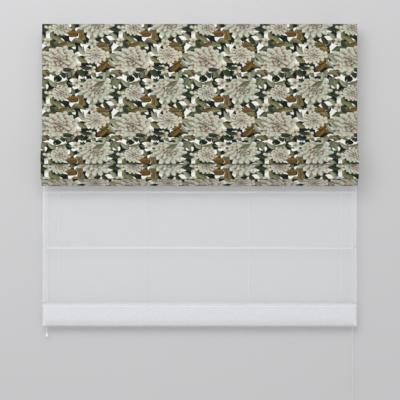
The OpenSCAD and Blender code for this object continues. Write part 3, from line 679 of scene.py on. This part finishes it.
def turn_side(row, lean, side):
    """Where the cloth meets the turn round a stacked rod, before it (side 1) or after it (side -1)."""
    angle = np.radians(lean)
    outward = np.array([math.cos(angle), -math.sin(angle)])
    return np.array([TURN_R, row * STACK_PITCH]) + side * TURN_R * outward


def leaning(lean, length):
    """A step of this length that leans forward from straight down by the angle in degrees."""
    angle = np.radians(lean)
    return length * np.array([math.sin(angle), math.cos(angle)])


# Leans of the cloth into and out of each turn, in degrees, and the handles that make the folds soft
FIRST_LEAN = (35, 30)
SECOND_LEAN = (15, 8)
CREASE_HANDLE = (0.014, 0.016)
RISE_1_HANDLE = (0.004, 0.036)
TURN_1_HANDLES = (0.028, 0.03)
FALL_2_HANDLE = (0.0, 0.06)
RISE_2_HANDLE = (0.002, 0.04)
TURN_2_HANDLES = (0.04, 0.05)
HEM_HANDLE = 0.018
fold_1_foot = np.array([FOLD_1_REACH, FOLD_1_DROP - BEND_R])
fold_1_rise = fold_1_foot - [2 * BEND_R, 0]
fold_2_foot = np.array([FOLD_2_REACH, FOLD_2_DROP - BEND_R])
fold_2_rise = fold_2_foot - [2 * BEND_R, 0]
hem_point = np.array([HEM_REACH, FOLD_2_DROP])
hem_down = np.array([-math.sin(HEM_LEAN), math.cos(HEM_LEAN)])
hem_back = np.array([-math.cos(HEM_LEAN), -math.sin(HEM_LEAN)])
hem_foot = hem_point + hem_down * HEM_LENGTH
pocket_foot = hem_foot + hem_back * FRONT_POCKET_T
pocket_top = pocket_foot - hem_down * FRONT_POCKET_H
pocket_edge = hem_foot + hem_back * (FRONT_T + SEAM_GAP) - hem_down * (FRONT_POCKET_H + POCKET_TAPER)
turn_1_in = turn_side(1, FIRST_LEAN[0], 1)
turn_1_out = turn_side(1, FIRST_LEAN[1], -1)
turn_2_in = turn_side(2, SECOND_LEAN[0], 1)
turn_2_out = turn_side(2, SECOND_LEAN[1], -1)
fold_pieces = [
    np.zeros((1, 2)),
    curve((0, 0), CREASE_HANDLE, (FOLD_1_REACH, FOLD_1_DROP / 2), fold_1_foot, 16),
    arc(fold_1_foot - [BEND_R, 0], BEND_R, 0, 180, 10),
    curve(fold_1_rise, fold_1_rise - RISE_1_HANDLE,
          turn_1_in + leaning(FIRST_LEAN[0], TURN_1_HANDLES[0]), turn_1_in, 14),
    arc((TURN_R, STACK_PITCH), TURN_R, -FIRST_LEAN[0], -180 - FIRST_LEAN[1], 10),
    curve(turn_1_out, turn_1_out + leaning(FIRST_LEAN[1], TURN_1_HANDLES[1]),
          fold_2_foot - FALL_2_HANDLE, fold_2_foot, 18),
    arc(fold_2_foot - [BEND_R, 0], BEND_R, 0, 180, 10),
    curve(fold_2_rise, fold_2_rise - RISE_2_HANDLE,
          turn_2_in + leaning(SECOND_LEAN[0], TURN_2_HANDLES[0]), turn_2_in, 18),
    arc((TURN_R, 2 * STACK_PITCH), TURN_R, -SECOND_LEAN[0], -180 - SECOND_LEAN[1], 10),
    curve(turn_2_out, turn_2_out + leaning(SECOND_LEAN[1], TURN_2_HANDLES[1]),
          hem_point - hem_down * HEM_HANDLE, hem_point, 18),
    line(hem_point, hem_foot, steps=6)[1:],
    line(hem_foot, pocket_foot, steps=3)[1:],
    line(pocket_foot, pocket_top, pocket_edge, steps=6)[1:]]
ARC_PIECES = (2, 4, 6, 8)
forward_down = np.concatenate(fold_pieces)
fold_path = np.stack([front_cloth_y - forward_down[:, 0], stack_z - forward_down[:, 1]], -1)
FLAT_STEPS = 60
flat_path = line((front_cloth_y, front_high[2]), (front_cloth_y, stack_z), steps=FLAT_STEPS)

# Print: a generic floral, worked out from the cloth's own coordinates and repeated on a tile
PRINT_TILE = (0.3, 0.27, 1.0)
PRINT_START = (0.0, 0.2, 0.0)
LEAF_COLOURS = [srgb(46, 56, 40), srgb(94, 101, 76), srgb(114, 111, 78), srgb(104, 78, 36),
                srgb(138, 142, 118)]
VANISHING = 1e-9


def after(tree, under, value):
    """The same value, tied to the colour under it by a vanishing share, so that layers come in turn."""
    single = value.type == "VALUE"
    kind = "Math" if single else "VectorMath"
    tie = VANISHING if single else (VANISHING, VANISHING, VANISHING)
    return place_node(tree, kind, {0: under, 1: tie, 2: value}, operation="MULTIPLY_ADD").outputs[0]


def scaled(tree, vector, factor):
    """A vector or colour times a number."""
    return place_node(tree, "VectorMath", {0: vector, "Scale": factor}, operation="SCALE").outputs[0]


def new_layer(name, inputs):
    """A node group that paints one layer at a place of the print, over the colour under it."""
    return new_group(name, {"Place": "Vector", "Under": "Color", **inputs}, {"Color": "Color"})


def tile_cell(tree, layer):
    """Splits the repeating tile into cells: the place in the cell from its corner, and four random values."""
    place = after(tree, layer["Under"], layer["Place"])
    tiled = calc_vector(tree, "ADD", calc_vector(tree, "DIVIDE", place, PRINT_TILE), layer["Shift"])
    wrapped = calc_vector(tree, "FRACTION", tiled)
    counted = scaled(tree, wrapped, layer["Per tile"])
    whole = calc_vector(tree, "FLOOR", counted)
    noise = place_node(tree, "TexWhiteNoise", {"Vector": whole, "W": layer["Seed"]}, noise_dimensions="4D")
    chance = place_node(tree, "SeparateColor", {0: noise.outputs["Color"]})
    inner = place_node(tree, "SeparateXYZ", {0: calc_vector(tree, "SUBTRACT", counted, whole)})
    return inner.outputs[0], inner.outputs[1], noise.outputs["Value"], chance.outputs


def jittered(tree, value, chance, amount):
    """A place in a cell from its middle, moved by up to half of the amount either way."""
    middle = minus(tree, value, 0.5)
    return minus(tree, middle, times(tree, minus(tree, chance, 0.5), amount))


# Leaf layer: one curved, pointed leaf in each cell, with a midrib, a lit half and a shaded half
LEAF_JITTER = 0.4
LEAF_BEND = 1.6
LEAF_TAPER = 0.35
LEAF_VEINS = 24.0
PRESENCE_DRAW = 17.3
COLOUR_DRAW = 7.7
LEAF_INPUTS = {"Per tile": "Float", "Shift": "Vector", "Seed": "Float", "Length": "Float", "Width": "Float",
               "Light": "Float", "Share": "Float"}
leaf_group, leaf_in, leaf_out = new_layer("leaf_layer", LEAF_INPUTS)
tree = leaf_group
cell_x, cell_y, first_chance, chances = tile_cell(tree, leaf_in)
leaf_x = jittered(tree, cell_x, chances[0], LEAF_JITTER)
leaf_y = jittered(tree, cell_y, chances[1], LEAF_JITTER)
lean = times(tree, first_chance, math.tau)
lean_cos = calc(tree, "COSINE", lean)
lean_sin = calc(tree, "SINE", lean)
along_leaf = plus(tree, times(tree, leaf_x, lean_cos), times(tree, leaf_y, lean_sin))
over_leaf = minus(tree, times(tree, leaf_y, lean_cos), times(tree, leaf_x, lean_sin))
along_leaf = divided(tree, along_leaf, leaf_in["Length"])
over_leaf = divided(tree, over_leaf, leaf_in["Width"])
along_square = times(tree, along_leaf, along_leaf)
bend = times(tree, minus(tree, chances[2], 0.5), LEAF_BEND)
over_leaf = plus(tree, over_leaf, times(tree, along_square, bend))
taper = minus(tree, 1.0, times(tree, along_leaf, LEAF_TAPER))
leaf_half = times(tree, minus(tree, 1.0, along_square), taper)
from_rib = calc(tree, "ABSOLUTE", over_leaf)
within = minus(tree, leaf_half, from_rib)
leaf_chance = calc(tree, "FRACT", times(tree, first_chance, PRESENCE_DRAW))
present = calc(tree, "LESS_THAN", leaf_chance, leaf_in["Share"])
leaf_mask = times(tree, ramp(tree, within, 0.0, 0.1), present)
half_tone = ramp(tree, over_leaf, -0.06, 0.06, 1.12, 0.72)
rib_tone = ramp(tree, from_rib, 0.03, 0.1, 1.3, 1.0)
veins = calc(tree, "SINE", times(tree, plus(tree, along_leaf, from_rib), LEAF_VEINS))
vein_tone = ramp(tree, veins, -1.0, 1.0, 0.92, 1.08)
edge_tone = ramp(tree, within, 0.0, 0.3, 0.7, 1.0)
leaf_tone = times(tree, times(tree, half_tone, rib_tone), times(tree, vein_tone, edge_tone))
leaf_tone = times(tree, leaf_tone, leaf_in["Light"])
colour_chance = calc(tree, "FRACT", times(tree, first_chance, COLOUR_DRAW))
leaf_pick = place_node(tree, "ValToRGB", {0: colour_chance})
leaf_pick.color_ramp.interpolation = "CONSTANT"
leaf_stops = leaf_pick.color_ramp.elements
for number, colour in enumerate(LEAF_COLOURS):
    share = number / len(LEAF_COLOURS)
    stop = leaf_stops[number] if number < len(leaf_stops) else leaf_stops.new(share)
    stop.position = share
    stop.color = colour
leaf_colour = scaled(tree, leaf_pick.outputs[0], leaf_tone)
feed(tree, leaf_out["Color"], blend_colour(tree, leaf_mask, leaf_in["Under"], leaf_colour))

# Blossom layer: one small open flower in each cell, with notched petals and a rust-coloured eye
CREAM = srgb(204, 200, 181)
COOL_SAGE = srgb(177, 185, 167)
RUST = srgb(186, 118, 78)
BLOSSOM_JITTER = 0.3
BLOSSOM_NOTCH = (2.5, 0.5)


def polar(tree, over, down, radius, turn):
    """Distance from a flower's middle in radii, and the way round it in turns from a starting turn."""
    squares = plus(tree, times(tree, over, over), times(tree, down, down))
    distance = divided(tree, calc(tree, "SQRT", squares), radius)
    turns = divided(tree, calc(tree, "ARCTAN2", down, over), math.tau)
    return distance, plus(tree, turns, turn)


def off_petal(tree, counted):
    """How far a place is from its petal's middle line, 1 at the petal's edge, from a count of petals."""
    petal = calc(tree, "FRACT", counted)
    return times(tree, calc(tree, "ABSOLUTE", minus(tree, petal, 0.5)), 2.0)


def petal_rim(tree, off_middle, power, notch):
    """Reach of a petal's rim: 1 on its middle line, and less by the notch at its edge, by this power."""
    return minus(tree, 1.0, times(tree, calc(tree, "POWER", off_middle, power), notch))


BLOSSOM_INPUTS = {"Per tile": "Float", "Shift": "Vector", "Seed": "Float", "Radius": "Float",
                  "Petals": "Float", "Share": "Float"}
bloom_group, bloom_in, bloom_out = new_layer("blossom_layer", BLOSSOM_INPUTS)
tree = bloom_group
cell_x, cell_y, first_chance, chances = tile_cell(tree, bloom_in)
bloom_x = jittered(tree, cell_x, chances[0], BLOSSOM_JITTER)
bloom_y = jittered(tree, cell_y, chances[1], BLOSSOM_JITTER)
from_eye, round_eye = polar(tree, bloom_x, bloom_y, bloom_in["Radius"], first_chance)
off_middle = off_petal(tree, times(tree, round_eye, bloom_in["Petals"]))
within = minus(tree, petal_rim(tree, off_middle, *BLOSSOM_NOTCH), from_eye)
present = calc(tree, "LESS_THAN", chances[2], bloom_in["Share"])
bloom_mask = times(tree, ramp(tree, within, 0.0, 0.1), present)
bloom_tone = times(tree, ramp(tree, from_eye, 0.1, 0.8, 0.6, 1.05),
                   ramp(tree, calc(tree, "POWER", off_middle, 4.0), 0.0, 1.0, 1.0, 0.6))
bloom_base = blend_colour(tree, first_chance, CREAM, COOL_SAGE)
bloom_base = blend_colour(tree, ramp(tree, from_eye, 0.32, 0.2), bloom_base, RUST)
bloom_colour = scaled(tree, bloom_base, bloom_tone)
feed(tree, bloom_out["Color"], blend_colour(tree, bloom_mask, bloom_in["Under"], bloom_colour))

# Rosette: a large many-petalled flower, drawn from its outer row of petals to its inner one. Each row has
# its reach, its number of petals and its turn.
PETAL_ROWS = [(1.0, 15, 0.0), (0.9, 14, 0.5), (0.78, 13, 0.2), (0.65, 11, 0.7), (0.52, 9, 0.1),
              (0.39, 8, 0.4), (0.27, 6, 0.8), (0.16, 5, 0.3)]
PETAL_NOTCH = (2.2, 0.3)
PETAL_REACHES = (0.86, 1.06)
ROSETTE_SQUASH = 1.25
TILE_MIDDLE = (0.5, 0.5, 0.0)
ROSETTE_INPUTS = {"Centre": "Vector", "Radius": "Float", "Turn": "Float", "Seed": "Float", "Cool": "Float"}
rose_group, rose_in, rose_out = new_layer("rosette", ROSETTE_INPUTS)
tree = rose_group
rose_place = after(tree, rose_in["Under"], rose_in["Place"])
rose_place = calc_vector(tree, "DIVIDE", rose_place, PRINT_TILE)
rose_place = calc_vector(tree, "SUBTRACT", rose_place, rose_in["Centre"])
rose_place = calc_vector(tree, "FRACTION", calc_vector(tree, "ADD", rose_place, TILE_MIDDLE))
rose_place = calc_vector(tree, "SUBTRACT", rose_place, TILE_MIDDLE)
rose_xyz = place_node(tree, "SeparateXYZ", {0: rose_place})
rose_x = rose_xyz.outputs[0]
rose_y = times(tree, rose_xyz.outputs[1], ROSETTE_SQUASH)
from_heart, round_heart = polar(tree, rose_x, rose_y, rose_in["Radius"], rose_in["Turn"])
rose_colour = rose_in["Under"]
for number, (reach, petals, phase) in enumerate(PETAL_ROWS):
    turned = calc(tree, "MULTIPLY_ADD", after(tree, rose_colour, round_heart), float(petals), phase)
    petal_number = calc(tree, "FLOORED_MODULO", calc(tree, "FLOOR", turned), float(petals))
    petal_at = place_node(tree, "CombineXYZ", {0: petal_number, 1: float(number), 2: rose_in["Seed"]})
    petal_noise = place_node(tree, "TexWhiteNoise", {"Vector": petal_at.outputs[0]}, noise_dimensions="3D")
    petal_chance = petal_noise.outputs[0]
    off_middle = off_petal(tree, turned)
    petal_reach = ramp(tree, petal_chance, 0.0, 1.0, *(share * reach for share in PETAL_REACHES))
    rim_share = petal_rim(tree, off_middle, *PETAL_NOTCH)
    within = minus(tree, times(tree, petal_reach, rim_share), from_heart)
    along_petal = divided(tree, from_heart, petal_reach)
    base_tone = ramp(tree, along_petal, 0.62, 0.98, 0.34, 1.06)
    side_tone = ramp(tree, calc(tree, "POWER", off_middle, 3.0), 0.0, 1.0, 1.0, 0.5)
    rib_tone = ramp(tree, off_middle, 0.02, 0.12, 0.86, 1.0)
    petal_tone = times(tree, times(tree, base_tone, side_tone), rib_tone)
    warmth = times(tree, ramp(tree, petal_chance, 0.72, 0.8), ramp(tree, along_petal, 0.85, 0.65))
    petal_base = blend_colour(tree, times(tree, petal_chance, rose_in["Cool"]), CREAM, COOL_SAGE)
    petal_base = blend_colour(tree, warmth, petal_base, RUST)
    petal_colour = scaled(tree, petal_base, petal_tone)
    rose_colour = blend_colour(tree, ramp(tree, within, 0.0, 0.012), rose_colour, petal_colour)
feed(tree, rose_out["Color"], rose_colour)

print_cotton, tree, print_shader = new_material("print_cotton", srgb(120, 120, 100), 0.86)
cloth_place = pattern_place(tree)
print_place = calc_vector(tree, "ADD", cloth_place, PRINT_START)

# Ground: pale patches on a dark cloth, where crossed waves that repeat with the tile rise above a level
GROUND_WAVES = [(5, 3, 0.0), (-4, 6, 1.3), (7, -2, 2.6), (2, 8, 4.0)]
GROUND_EDGE = (0.1, 0.25)
DARK_GROUND = srgb(22, 26, 20)
PALE_GROUND = srgb(220, 220, 214)
ground = 0.0
for over, down, phase in GROUND_WAVES:
    wave_turns = (math.tau * over / PRINT_TILE[0], math.tau * down / PRINT_TILE[1], 0.0)
    wave_at = place_node(tree, "VectorMath", {0: print_place, 1: wave_turns}, operation="DOT_PRODUCT")
    wave = calc(tree, "SINE", plus(tree, wave_at.outputs["Value"], phase))
    ground = plus(tree, wave, ground)
print_colour = blend_colour(tree, ramp(tree, ground, *GROUND_EDGE), DARK_GROUND, PALE_GROUND)

# Layers from the lowest to the topmost, each with its values in the order of its group's own inputs
PRINT_LAYERS = [
    (leaf_group, LEAF_INPUTS, (8.0, (0.02, 0.05, 0.0), 1.0, 0.62, 0.22, 0.75, 0.9)),
    (leaf_group, LEAF_INPUTS, (7.0, (0.09, 0.01, 0.0), 2.0, 0.62, 0.22, 0.9, 0.8)),
    (leaf_group, LEAF_INPUTS, (6.0, (0.05, 0.11, 0.0), 3.0, 0.6, 0.22, 1.0, 0.7)),
    (bloom_group, BLOSSOM_INPUTS, (5.0, (0.03, 0.08, 0.0), 4.0, 0.36, 5.0, 0.45)),
    (leaf_group, LEAF_INPUTS, (6.0, (0.07, 0.02, 0.0), 7.0, 0.55, 0.18, 1.1, 0.35)),
    (rose_group, ROSETTE_INPUTS, ((0.24, 0.3, 0.0), 0.28, 0.1, 5.0, 0.6)),
    (rose_group, ROSETTE_INPUTS, ((0.75, 0.76, 0.0), 0.25, 0.37, 6.0, 1.0)),
    (rose_group, ROSETTE_INPUTS, ((0.73, 0.22, 0.0), 0.17, 0.2, 8.0, 0.3)),
    (rose_group, ROSETTE_INPUTS, ((0.26, 0.8, 0.0), 0.15, 0.6, 9.0, 0.8)),
    (leaf_group, LEAF_INPUTS, (5.0, (0.11, 0.06, 0.0), 11.0, 0.5, 0.17, 1.0, 0.35))]
for group, inputs, values in PRINT_LAYERS:
    layer = {"Place": print_place, "Under": print_colour, **dict(zip(inputs, values))}
    print_colour = use_group(tree, group, layer)["Color"]
PRINT_THREAD = 0.0007
WEAVE_TONES = (0.94, 1.06)
print_weave = use_group(tree, weave_group, {"Place": cloth_place, "Thread": PRINT_THREAD})
woven_tone = ramp(tree, print_weave["Tone"], 0.0, 1.0, *WEAVE_TONES)
feed(tree, print_shader.inputs["Base Color"], scaled(tree, print_colour, woven_tone))
print_shader.inputs["Specular IOR Level"].default_value = 0.12
add_bump(tree, print_shader, print_weave["Height"], 0.4, 0.0002)

LINING_THREAD = 0.0006
lining, tree, lining_shader = new_material("lining", srgb(224, 221, 212), 0.85)
lining_place = pattern_place(tree)
lining_weave = use_group(tree, weave_group, {"Place": lining_place, "Thread": LINING_THREAD})
lining_yarn = blend_colour(tree, lining_weave["Tone"], srgb(212, 209, 200), srgb(228, 225, 216))
front_seams = [front_high[2] - rod[2] + SEAM_STEP for rod in front_rods[:2]]
lining_sewn = stitch_mask(tree, lining_place, front_seams)
feed(tree, lining_shader.inputs["Base Color"],
     blend_colour(tree, lining_sewn, lining_yarn, srgb(196, 190, 176)))
add_bump(tree, lining_shader, lining_weave["Height"], 0.4, 0.0002)

TURNED_W = 0.03
FRONT_COLUMNS = 261
front_across = np.linspace(front_low[0], front_high[0], FRONT_COLUMNS)


def turned_sides(rows):
    """Slots of the back's faces: the print where the side is turned back, and the lining between."""
    middles = (front_across[1:] + front_across[:-1]) / 2
    edge = np.abs(middles) > front_high[0] - TURNED_W
    return np.tile(np.where(edge, 0, 1), rows - 1)


FRONT_BILLOW = 0.0012
front_held = [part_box("front_loop_tape")[0][2], front_rods[0][2], stack_z]
front_billow = billow(flat_path, front_across, front_held, FRONT_BILLOW)
front_flat = swept_sheet("front_flat_cloth", flat_path, front_across, FRONT_T, [print_cotton, lining], 0.0,
                         front_billow, turned_sides(len(flat_path)))
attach(front_flat, "headrail")
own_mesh(front_flat)
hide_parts("front_cloth")

# The folds droop a little between the lift cords, most at their feet and not at the rods or the stiff hem.
# The shares are at the cloth's start, at the middle of each arc and at its end.
DROOP_SHARES = [0, 1, 0, 1, 0, 0]
DROOP_WAVES = [(0.0008, 14.3, 0.6), (0.0005, 33.0, 0.0)]
piece_ends = np.cumsum([len(piece) for piece in fold_pieces])
arc_middles = [(piece_ends[number - 1] + piece_ends[number]) / 2 for number in ARC_PIECES]
droop_share = np.interp(np.arange(len(fold_path)), [0, *arc_middles, len(fold_path)], DROOP_SHARES)
droop = sum(depth * np.sin(front_across * rate + phase) for depth, rate, phase in DROOP_WAVES)
fold_ripple = np.zeros((len(fold_path), len(front_across), 3))
fold_ripple[..., 2] = droop_share[:, None] * droop
front_folds = swept_sheet("front_folded_cloth", fold_path, front_across, FRONT_T, [print_cotton, lining],
                          front_high[2] - stack_z, fold_ripple, turned_sides(len(fold_path)))
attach(front_folds, "front_stack")
front_pocket_across = front_across[[0, FRONT_COLUMNS // 2, -1]]
for row, rod in enumerate(front_rods, 1):
    pocket = rod_pocket(f"front_pocket_{row}", rod, front_pocket_across, FRONT_T, [lining])
    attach(pocket, "front_upper_rod" if row == 1 else "front_stack")

# Stage: a plain pale wall behind the brackets and a plain floor below, which show only from the front, to
# the camera and in metal that stands clear of them, with one large soft lamp and an even pale surround.

WALL_COLOUR = srgb(196, 196, 197)
FLOOR_COLOUR = srgb(214, 214, 214)
STAGE_HALF = 4
WALL_Y = 0.002
WALL_TOP = 3
FLOOR_Z = -2.4
FLOOR_FRONT = -6
FLOOR_BACK = 4
AGAINST_WALL = 0.05


def stage_material(name, colour):
    """Matt paint seen only from its front, by the camera and by metal that doesn't lie against it."""
    made, tree, shader = new_material(name, colour, 0.9)
    seen_from_back = place_node(tree, "NewGeometry").outputs["Backfacing"]
    light_path = place_node(tree, "LightPath").outputs
    clear_of_it = calc(tree, "GREATER_THAN", light_path["Ray Length"], AGAINST_WALL)
    mirrored = times(tree, light_path["Is Glossy Ray"], clear_of_it)
    looked_at = calc(tree, "MAXIMUM", light_path["Is Camera Ray"], mirrored)
    hidden = calc(tree, "MAXIMUM", seen_from_back, minus(tree, 1.0, looked_at))
    clear = place_node(tree, "BsdfTransparent").outputs[0]
    shown = place_node(tree, "MixShader", {0: hidden, 1: shader.outputs[0], 2: clear})
    feed(tree, tree.nodes["Material Output"].inputs["Surface"], shown.outputs[0])
    return made


wall_finish = stage_material("wall_paint", WALL_COLOUR)
floor_finish = stage_material("floor_paint", FLOOR_COLOUR)
wall_points = np.array([(-STAGE_HALF, WALL_Y, FLOOR_Z), (STAGE_HALF, WALL_Y, FLOOR_Z),
                        (STAGE_HALF, WALL_Y, WALL_TOP), (-STAGE_HALF, WALL_Y, WALL_TOP)])
floor_points = np.array([(-STAGE_HALF, FLOOR_FRONT, FLOOR_Z), (STAGE_HALF, FLOOR_FRONT, FLOOR_Z),
                         (STAGE_HALF, FLOOR_BACK, FLOOR_Z), (-STAGE_HALF, FLOOR_BACK, FLOOR_Z)])
write_mesh("wall", wall_points, [[0, 1, 2, 3]], [wall_finish])
write_mesh("floor", floor_points, [[0, 1, 2, 3]], [floor_finish])

scene = bpy.context.scene
scene.view_settings.view_transform = "Standard"
world = bpy.data.worlds.new("surround")
world.use_nodes = True
world_light = world.node_tree.nodes["Background"]
world_light.inputs["Color"].default_value = srgb(252, 252, 253)
world_light.inputs["Strength"].default_value = 0.78
scene.world = world

lamp_data = bpy.data.lights.new("soft_lamp", "AREA")
lamp_data.shape = "RECTANGLE"
lamp_data.size = 3.0
lamp_data.size_y = 2.0
lamp_data.energy = 62
lamp = bpy.data.objects.new("soft_lamp", lamp_data)
lamp.location = (-0.7, -3.0, 1.1)
lamp.rotation_euler = (math.radians(62), 0, math.radians(-12))
lamp.visible_camera = False
scene.collection.objects.link(lamp)

# Camera: square on to the blind, at the height and distance that the picture's perspective gives. Its lens
# follows from the picture's scale at the front cloth.
PICTURE_PX = 400
MM_PER_PX = 4.127
CLOTH_TOP_PX = 24
CLOTH_MIDDLE_PX = 199.65
CAMERA_TO_CLOTH = 4.5
loop_tape_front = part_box("front_loop_tape")[0][1]
camera_data = bpy.data.cameras.new("camera")
camera_data.sensor_width = 36
camera_data.lens = camera_data.sensor_width * CAMERA_TO_CLOTH / (PICTURE_PX * MM_PER_PX / 1000)
camera = bpy.data.objects.new("camera", camera_data)
camera.location = ((PICTURE_PX / 2 - CLOTH_MIDDLE_PX) * MM_PER_PX / 1000, loop_tape_front - CAMERA_TO_CLOTH,
                   front_high[2] - (PICTURE_PX / 2 - CLOTH_TOP_PX) * MM_PER_PX / 1000)
camera.rotation_euler = (math.pi / 2, 0, 0)
scene.collection.objects.link(camera)
scene.camera = camera
